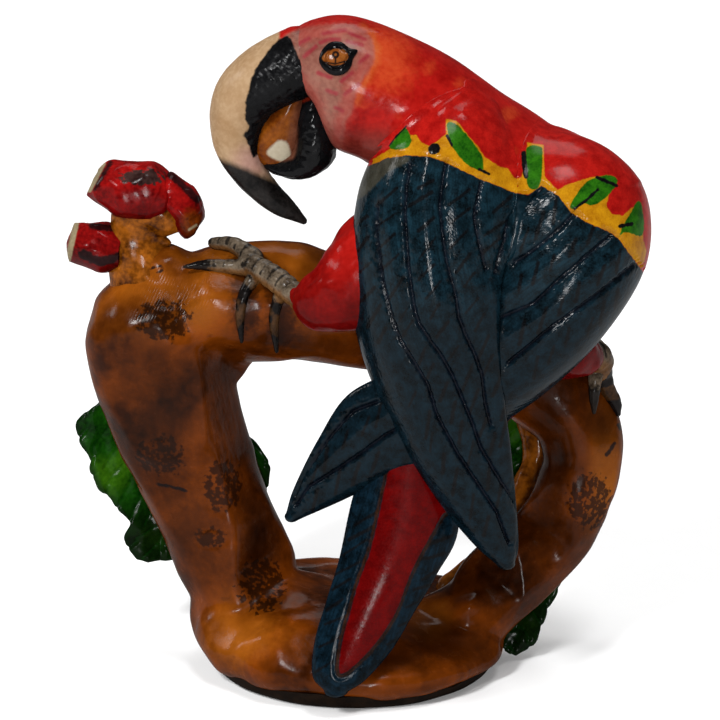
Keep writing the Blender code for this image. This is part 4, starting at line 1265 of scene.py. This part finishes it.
def make_tail():
    obj = add_piece("tail_painted", *loft(TAIL, 240, 150, ease=0.25, round_by=0.9))
    points, normals = points_of(obj), normals_of(obj)
    spot = sheet(points)
    red = outline_distance(spot, rounded(TAIL_RED))
    push(obj, (-0.16 * bell(red - 0.35, 0.3) + 0.06 * (red < 0)) * facing(normals))
    store(obj, "wedge", red + hidden(normals))
    store(obj, "edge", np.abs(red - 0.2) - 0.14 + hidden(normals))
    store(obj, "tick", stroke_distance(spot, ticks(TAIL_LANES, lambda m: 25, 1.5, 2.2, 41)))
    gap, place_on = line_distance(spot, [(6.5, 19.0), (3.4, 8.0), (0.4, 0.0)])
    store(obj, "flow", np.stack([np.sign(spot[:, 0] - 3.4) * gap, points[:, 1] * 0.3, place_on], 1))
    store(obj, "blue", -red)
    layers = [
        ("tick", *BLACK, 0.08, 0.2, 0.9),
        ("edge", shade(22, 10, 6), shade(70, 40, 22), 0.12, 0.3, 0.9),
        ("wedge", shade(82, 2, 3), shade(114, 5, 5), 0.08, 0.2, 1.0),
    ]
    material = paint(
        "tail_feathers", (DEEP_NAVY[0], shade(16, 38, 52)), layers, patch=0.9,
        flow=("flow", 0.22, 2.2, 1.1, 0.008, "blue"), sheen=0.12,
    )
    finish(obj, material, "tail")


def make_thighs():
    for name, table in (("thigh_left", THIGH_LEFT), ("thigh_right", THIGH_RIGHT)):
        obj = add_piece(name + "_painted", *loft(table, 120, 110, round_by=0.8))
        push(obj, lumps(points_of(obj), 2.6, 31) * 0.1)
        knife_facets(obj, 50, 0.3, 32, 0.12)
        spot = sheet(points_of(obj))
        store(obj, "shadow", (spot[:, 1] - 34.0) * 0.3)
        layers = [("shadow", *DARK_RED, 1.6, 0.6, 0.85)]
        finish(obj, paint(name + "_red", RED, layers, patch=3.0, sheen=0.14), name)


def make_foot(name, toes):
    scales = lambda run: 0.9 + 0.07 * np.abs(np.sin(run * math.pi / BAND_SPACING))
    obj = fuse(name + "_painted", [sweep(t, 60, 24, scales) for t in toes.values()], 0.13)
    relax(obj, 1)
    points, normals = points_of(obj), normals_of(obj)
    gaps, places, lengths = [], [], []
    for table in toes.values():
        line = along(table, np.linspace(0, 1, 25))[:, :3]
        gap, where = line_distance(points, line)
        gaps.append(gap)
        places.append(where)
        lengths.append(np.full(len(points), np.linalg.norm(np.diff(line, axis=0), axis=1).sum()))
    nearest = np.argmin(gaps, axis=0)
    pick = lambda rows: np.choose(nearest, rows)
    run, length = pick(places), pick(lengths)
    from_band = np.abs((run / BAND_SPACING + 0.5) % 1 - 0.5) * BAND_SPACING
    band = from_band - 0.09 + 0.12 * lumps(points, 1.6, 33)
    claw = np.isin(nearest, [i for i, t in enumerate(toes) if "claw" in t or t == "side_toe"])
    store(obj, "band", band + 0.25 * (normals[:, 2] < 0.1))
    from_tip = length - run
    patchy = 0.5 * lumps(points, 1.5, 34)
    dark = np.minimum(from_tip - 1.6, np.abs(from_tip - 4.2) - 0.8) + patchy
    store(obj, "claw", np.where(claw, np.where(nearest == 1, from_tip - 2.2, dark), FAR))
    store(obj, "under", normals[:, 2] + 0.05)
    store(obj, "nail", np.where(claw & (nearest != 1), from_tip - 5.2, FAR))
    layers = [
        ("under", shade(85, 48, 12), shade(130, 82, 28), 0.3, 0.4, 0.8),
        ("nail", shade(22, 12, 6), shade(84, 54, 28), 0.4, 0.6, 0.92),
        ("band", *BLACK, 0.08, 0.4, 0.85),
        ("claw", *BLACK, 0.2, 1.2, 0.93),
    ]
    finish(obj, paint(name + "_scales", SCALE, layers, patch=1.2), name)


# ---------------------------------------------------------------- the branch
def shape_branch():
    forms = [
        sweep(TRUNK, 90, 48), sweep(PERCH, 170, 44), loft(STUMP, 60, 90, round_by=0.0), sweep(ELBOW, 30, 30),
        sweep(CROOK, 20, 24),
    ]
    obj = fuse("branch_painted", forms, 0.24)
    relax(obj, 14)
    push(obj, lumps(points_of(obj), 9.0, 51) * 0.2 + lumps(points_of(obj), 3.0, 52) * 0.05)
    knife_facets(obj, 420, 0.6, 53, 0.3)
    whittle(obj, TRUNK, TRUNK_CUTS)
    whittle(obj, PERCH, PERCH_CUTS)
    relax(obj, 6)
    return obj


def mark_branch(obj):
    """Knots, pen marks, stain, painted shade and painted light, and the lie of the grain, stored on the
    branch.
    """
    points, normals = points_of(obj), normals_of(obj)
    spot = sheet(points)
    shown, away = facing(normals), hidden(normals)
    knot = oval_distance(spot, *KNOTS)
    push(obj, -0.07 * bell(knot, 0.35) * shown)
    store(obj, "knot", np.maximum(knot * 1.1, -0.1) + away)
    store(obj, "ink", stroke_distance(spot, BRANCH_INK) + away)
    stain = np.min([line_distance(spot, line)[0] for line in CLAW_STAIN], axis=0)
    store(obj, "stain", stain - 1.1 + away)
    rough = lumps(points, 6.0, 55) * 0.3
    # painted shade: on the far side, faces turned downward are painted darker
    under = np.where(shown > 0.5, 9, normals[:, 2] + 0.2)
    store(obj, "dark", np.minimum(oval_distance(spot, *DARK_STAIN_AND_SHADE), under) + rough)
    # painted light on the lit tops of the elbow and perch, mixed with lighter stain
    store(obj, "light_stain_and_lit", oval_distance(spot, *LIGHT_STAIN_AND_LIT_TOPS) + rough + away)
    store(obj, "fleck", 2.2 - lumps(points, 1.1, 56) - lumps(points, 5.0, 57) * 0.8)
    trunk, from_trunk = lie_along(points, TRUNK)
    perch, from_perch = lie_along(points, PERCH)
    store(obj, "grain", np.where((from_trunk < from_perch)[:, None], trunk, perch))
    store(obj, "everywhere", -np.ones(len(points)))
    store(obj, "tooled", oval_distance(spot, TOOLED) + away)
    store(obj, "strokes", (spot @ (math.cos(TOOL_TILT), -math.sin(TOOL_TILT))) / TOOL_SPACING * 2 * math.pi)


def make_branch():
    obj = shape_branch()
    mark_branch(obj)
    layers = [
        # lighter stain mixed with painted light on the lit tops
        ("light_stain_and_lit", *BRIGHT_AMBER, 0.9, 0.8, 0.75),
        # darker stain mixed with painted shade
        ("dark", *UMBER, 0.9, 0.8, 0.8),
        ("fleck", *UMBER, 0.5, 0.9, 0.32),
        ("stain", *STAIN, 0.7, 2.0, 0.8),
        ("knot", shade(14, 6, 2), shade(48, 20, 4), 0.1, 1.7, 0.85),
        ("ink", *BLACK, 0.06, 0.25, 0.9),
    ]
    material = paint(
        "amber", AMBER, layers, patch=6.0, fine=0.2, flow=("grain", 0.8, 7.0, 0.35, 0.010, "everywhere"),
        roughness=(0.14, 0.28), sheen=0.18,
        bumps=((1.8, 0.03), (0.4, 0.012)), ridges=("strokes", "tooled", 0.009),
    )
    finish(obj, material, "branch")


def make_skin():
    obj = add_piece("nut_skin_painted", *loft(SKIN, 60, 260, round_by=0.0))
    points = points_of(obj)
    rim = np.clip(points[:, 2] - 0.6, 0, 1)
    turn = np.stack([points[:, 0], points[:, 1]], 1)
    points[:, 2] += rim * (lumps(turn, 4.0, 61) * 0.28 + 0.1)
    points[:, :2] *= 1 + (lumps(turn, 6.0, 62) * 0.004)[:, None]
    place(obj, points)
    material = paint(
        "nut_brown", NUT, patch=1.6, roughness=(0.4, 0.6), sheen=0.1, bumps=((1.4, 0.08), (0.35, 0.04))
    )
    finish(obj, material, "nut_skin")


def make_leaves():
    for seed, (name, table) in enumerate(LEAVES.items()):
        rows = 170 if name == "leaf_left" else 110
        points, faces = loft(table, rows, 120, ease=0.3, round_by=0.8)
        left, right = (np.array([row[k] for row in table], float) for k in (0, 1))
        gap, run = line_distance(points, (left + right) / 2)
        obj = add_piece(name + "_painted", points, faces)
        vein = np.abs((run - gap * 0.9) / 2.0 % 1 - 0.5) * 2.0
        relief = -0.22 * bell(gap, 0.35) - 0.12 * bell(vein, 0.22) * (gap > 0.4)
        push(obj, relief + lumps(points, 2.4, 70 + seed) * 0.1)
        outer = np.minimum(line_distance(points, left)[0], line_distance(points, right)[0])
        store(obj, "margin", outer - 0.35)
        store(obj, "vein", np.minimum(gap - 0.12, vein - 0.08 + 0.3 * (gap < 0.3)))
        store(obj, "young", 0.6 - lumps(points, 4.5, 80 + seed))
        # painted shade: the leaf is painted darker towards its bottom
        store(obj, "low", (points[:, 2] - table[-1][0][2] - 4.8) * 0.4)
        layers = [
            ("young", shade(44, 100, 8), shade(86, 142, 22), 0.8, 0.8, 0.7),
            # painted shade low on the leaf
            ("low", shade(4, 10, 2), shade(15, 32, 8), 0.8, 0.6, 0.9),
            ("vein", shade(0, 40, 4), shade(10, 70, 8), 0.15, 0.15, 0.55),
            ("margin", shade(6, 22, 6), shade(16, 44, 12), 0.25, 0.35, 0.8),
        ]
        finish(obj, paint(name + "_green", LEAF, layers, patch=2.2, sheen=0.12), name)


def make_vine():
    obj = add_piece("vine_painted", *sweep(VINE, 130, 40))
    push(obj, lumps(points_of(obj), 3.0, 91) * 0.1)
    knife_facets(obj, 60, 0.5, 92, 0.15)
    finish(obj, paint("vine_amber", (AMBER[0], BRIGHT_AMBER[1]), patch=3.0), "vine")


def make_flower_stalk():
    forms = [loft(FLOWER_STALK, 110, 60, round_by=0.5)] + [sweep(t, 30, 24) for t in STALK_KNOBS]
    obj = fuse("flower_stalk_painted", forms, 0.16)
    relax(obj, 3)
    push(obj, lumps(points_of(obj), 2.2, 95) * 0.07)
    knife_facets(obj, 26, 0.4, 96, 0.12)
    finish(obj, paint("stalk_amber", (AMBER[0], BRIGHT_AMBER[1]), patch=2.4), "flower_stalk")


def make_bracts():
    for seed, (name, table) in enumerate(BRACTS.items()):
        hooked = name == "bract_right"
        obj = add_piece(name + "_painted", *loft(table, 110, 100, round_by=0.45 if hooked else 0.1))
        push(obj, lumps(points_of(obj), 2.6, 100 + seed) * 0.12)
        knife_facets(obj, 18, 0.6, 110 + seed, 0.22)
        spot = sheet(points_of(obj))
        drawn = BRACT_MARKS[name]
        store(obj, "oval", oval_distance(spot, drawn["oval"]))
        store(obj, "ivory", stroke_distance(spot, drawn["ivory"]))
        store(obj, "ink", stroke_distance(spot, drawn["ink"]))
        # painted shade: each bract is painted darker red towards its bottom
        store(obj, "low", (spot[:, 1] - spot[:, 1].min() - 2.2) * 0.5)
        store(obj, "ripe", oval_distance(spot, RIPE_SPOT) + (0 if hooked else FAR))
        layers = [
            # painted shade low on the bract
            ("low", *DARK_RED, 0.9, 0.5, 0.8),
            ("ripe", *AMBER, 0.5, 0.7, 0.85),
            ("oval", shade(8, 8, 8), shade(62, 58, 54), 0.12, 1.8, 0.92),
            ("ink", *BLACK, 0.12, 0.5, 0.9),
            ("ivory", *CUT, 0.08, 0.1, 1.0),
        ]
        material = paint(
            name + "_red", (shade(96, 6, 8), shade(184, 22, 20)), layers, patch=1.8, sheen=0.15,
            bumps=((1.2, 0.012), (0.28, 0.004)),
        )
        finish(obj, material, name)


# ---------------------------------------------------------------- the set
FLOOR_REACH = 2500.0


def make_floor():
    corners = np.array([(-1, -1, 0), (1, -1, 0), (1, 1, 0), (-1, 1, 0)]) * FLOOR_REACH
    obj = new_mesh("floor", corners, [(0, 1, 2, 3)])
    material = bpy.data.materials.new("floor_white")
    material.use_nodes = True
    tree = material.node_tree
    shader = tree.nodes["Principled BSDF"]
    spot = add_node(tree, "ShaderNodeTexCoord").outputs["Object"]
    grain = add_node(tree, "ShaderNodeTexNoise", {"Vector": spot, "Scale": 400.0}).outputs[0]
    looks = {
        "Base Color": mix_colours(tree, grain, (0.86,) * 3, (0.88,) * 3), "Roughness": 0.9,
        "Specular IOR Level": 0.1, "Emission Color": (1, 1, 1), "Emission Strength": 0.1,
    }
    for key, value in looks.items():
        feed(tree, shader.inputs[key], value)
    obj.data.materials.append(material)


LIGHT_DISTANCE = 0.6
SOFT_BOXES = [  # name, azimuth, elevation, size in metres, watts
    ("key", -31, 42, (0.08, 0.11), 2.9),
    ("front_strip", 2, 8, (0.06, 0.12), 1.6),
    ("left_fill", -100, 29, (0.14, 0.14), 0.9),
    ("top", 30, 70, (0.16, 0.16), 1.6),
    ("back", 170, 60, (0.30, 0.30), 1.5),
]


def add_light(name, azimuth, elevation, size, watts):
    """A soft box. Azimuth 0 is behind the camera and 90 is to the right."""
    data = bpy.data.lights.new(name, "AREA")
    data.shape = "RECTANGLE"
    data.size, data.size_y = size
    data.energy = watts
    obj = new_object(name, data)
    a, e = math.radians(azimuth), math.radians(elevation)
    back = Vector((math.sin(a) * math.cos(e), -math.cos(a) * math.cos(e), math.sin(e)))
    obj.location = Vector(TARGET * MM) + back * LIGHT_DISTANCE
    obj.rotation_euler = (-back).to_track_quat("-Z", "Y").to_euler()
    obj.visible_camera = False


def make_set():
    make_floor()
    world = bpy.data.worlds.new("studio")
    bpy.context.scene.world = world
    world.use_nodes = True
    sky = world.node_tree.nodes["Background"]
    sky.inputs[0].default_value = (1, 1, 1, 1)
    sky.inputs[1].default_value = 0.16
    for box in SOFT_BOXES:
        add_light(*box)
    camera = bpy.data.cameras.new("camera")
    camera.sensor_width = 36.0
    camera.lens = 36.0 * DISTANCE / FIELD
    camera.clip_start, camera.clip_end = 0.01, 20
    obj = new_object("camera", camera)
    obj.location = EYE * MM
    obj.rotation_euler = (math.pi / 2 - ELEVATION, 0, 0)
    bpy.context.scene.camera = obj
    bpy.context.scene.view_settings.view_transform = "Standard"


make_set()
body = add_piece("body_painted", *loft(BODY, 340, 210, ease=0.6, round_by=0.4))
push(body, lumps(points_of(body), 7.0, 3) * 0.08)
knife_facets(body, 240, 0.3, 11, 0.12)
left = add_piece("wing_left_painted", *loft(WING_LEFT, 330, 290, ease=0.25, round_by=0.9, front=0.66))
right = add_piece("wing_right_painted", *loft(WING_RIGHT, 330, 290, ease=0.25, round_by=0.9, front=0.66))
blend_shoulders(body, (left, right))
paint_body(body)
paint_wing(left, "wing_left", LEFT_GROOVES, LEFT_LANES, lambda m: np.interp(m[1], (18, 42), (82, 34)), 131)
paint_wing(right, "wing_right", RIGHT_GROOVES, RIGHT_LANES, lambda m: 76, 132)
make_eye("eye_near", -1, body)
make_eye("eye_far", 1, body)
make_upper_beak()
make_lower_beak()
make_tongue()
make_tail()
make_thighs()
make_foot("foot_left", LEFT_TOES)
make_foot("foot_right", RIGHT_TOES)
make_branch()
make_skin()
make_leaves()
make_vine()
make_flower_stalk()
make_bracts()
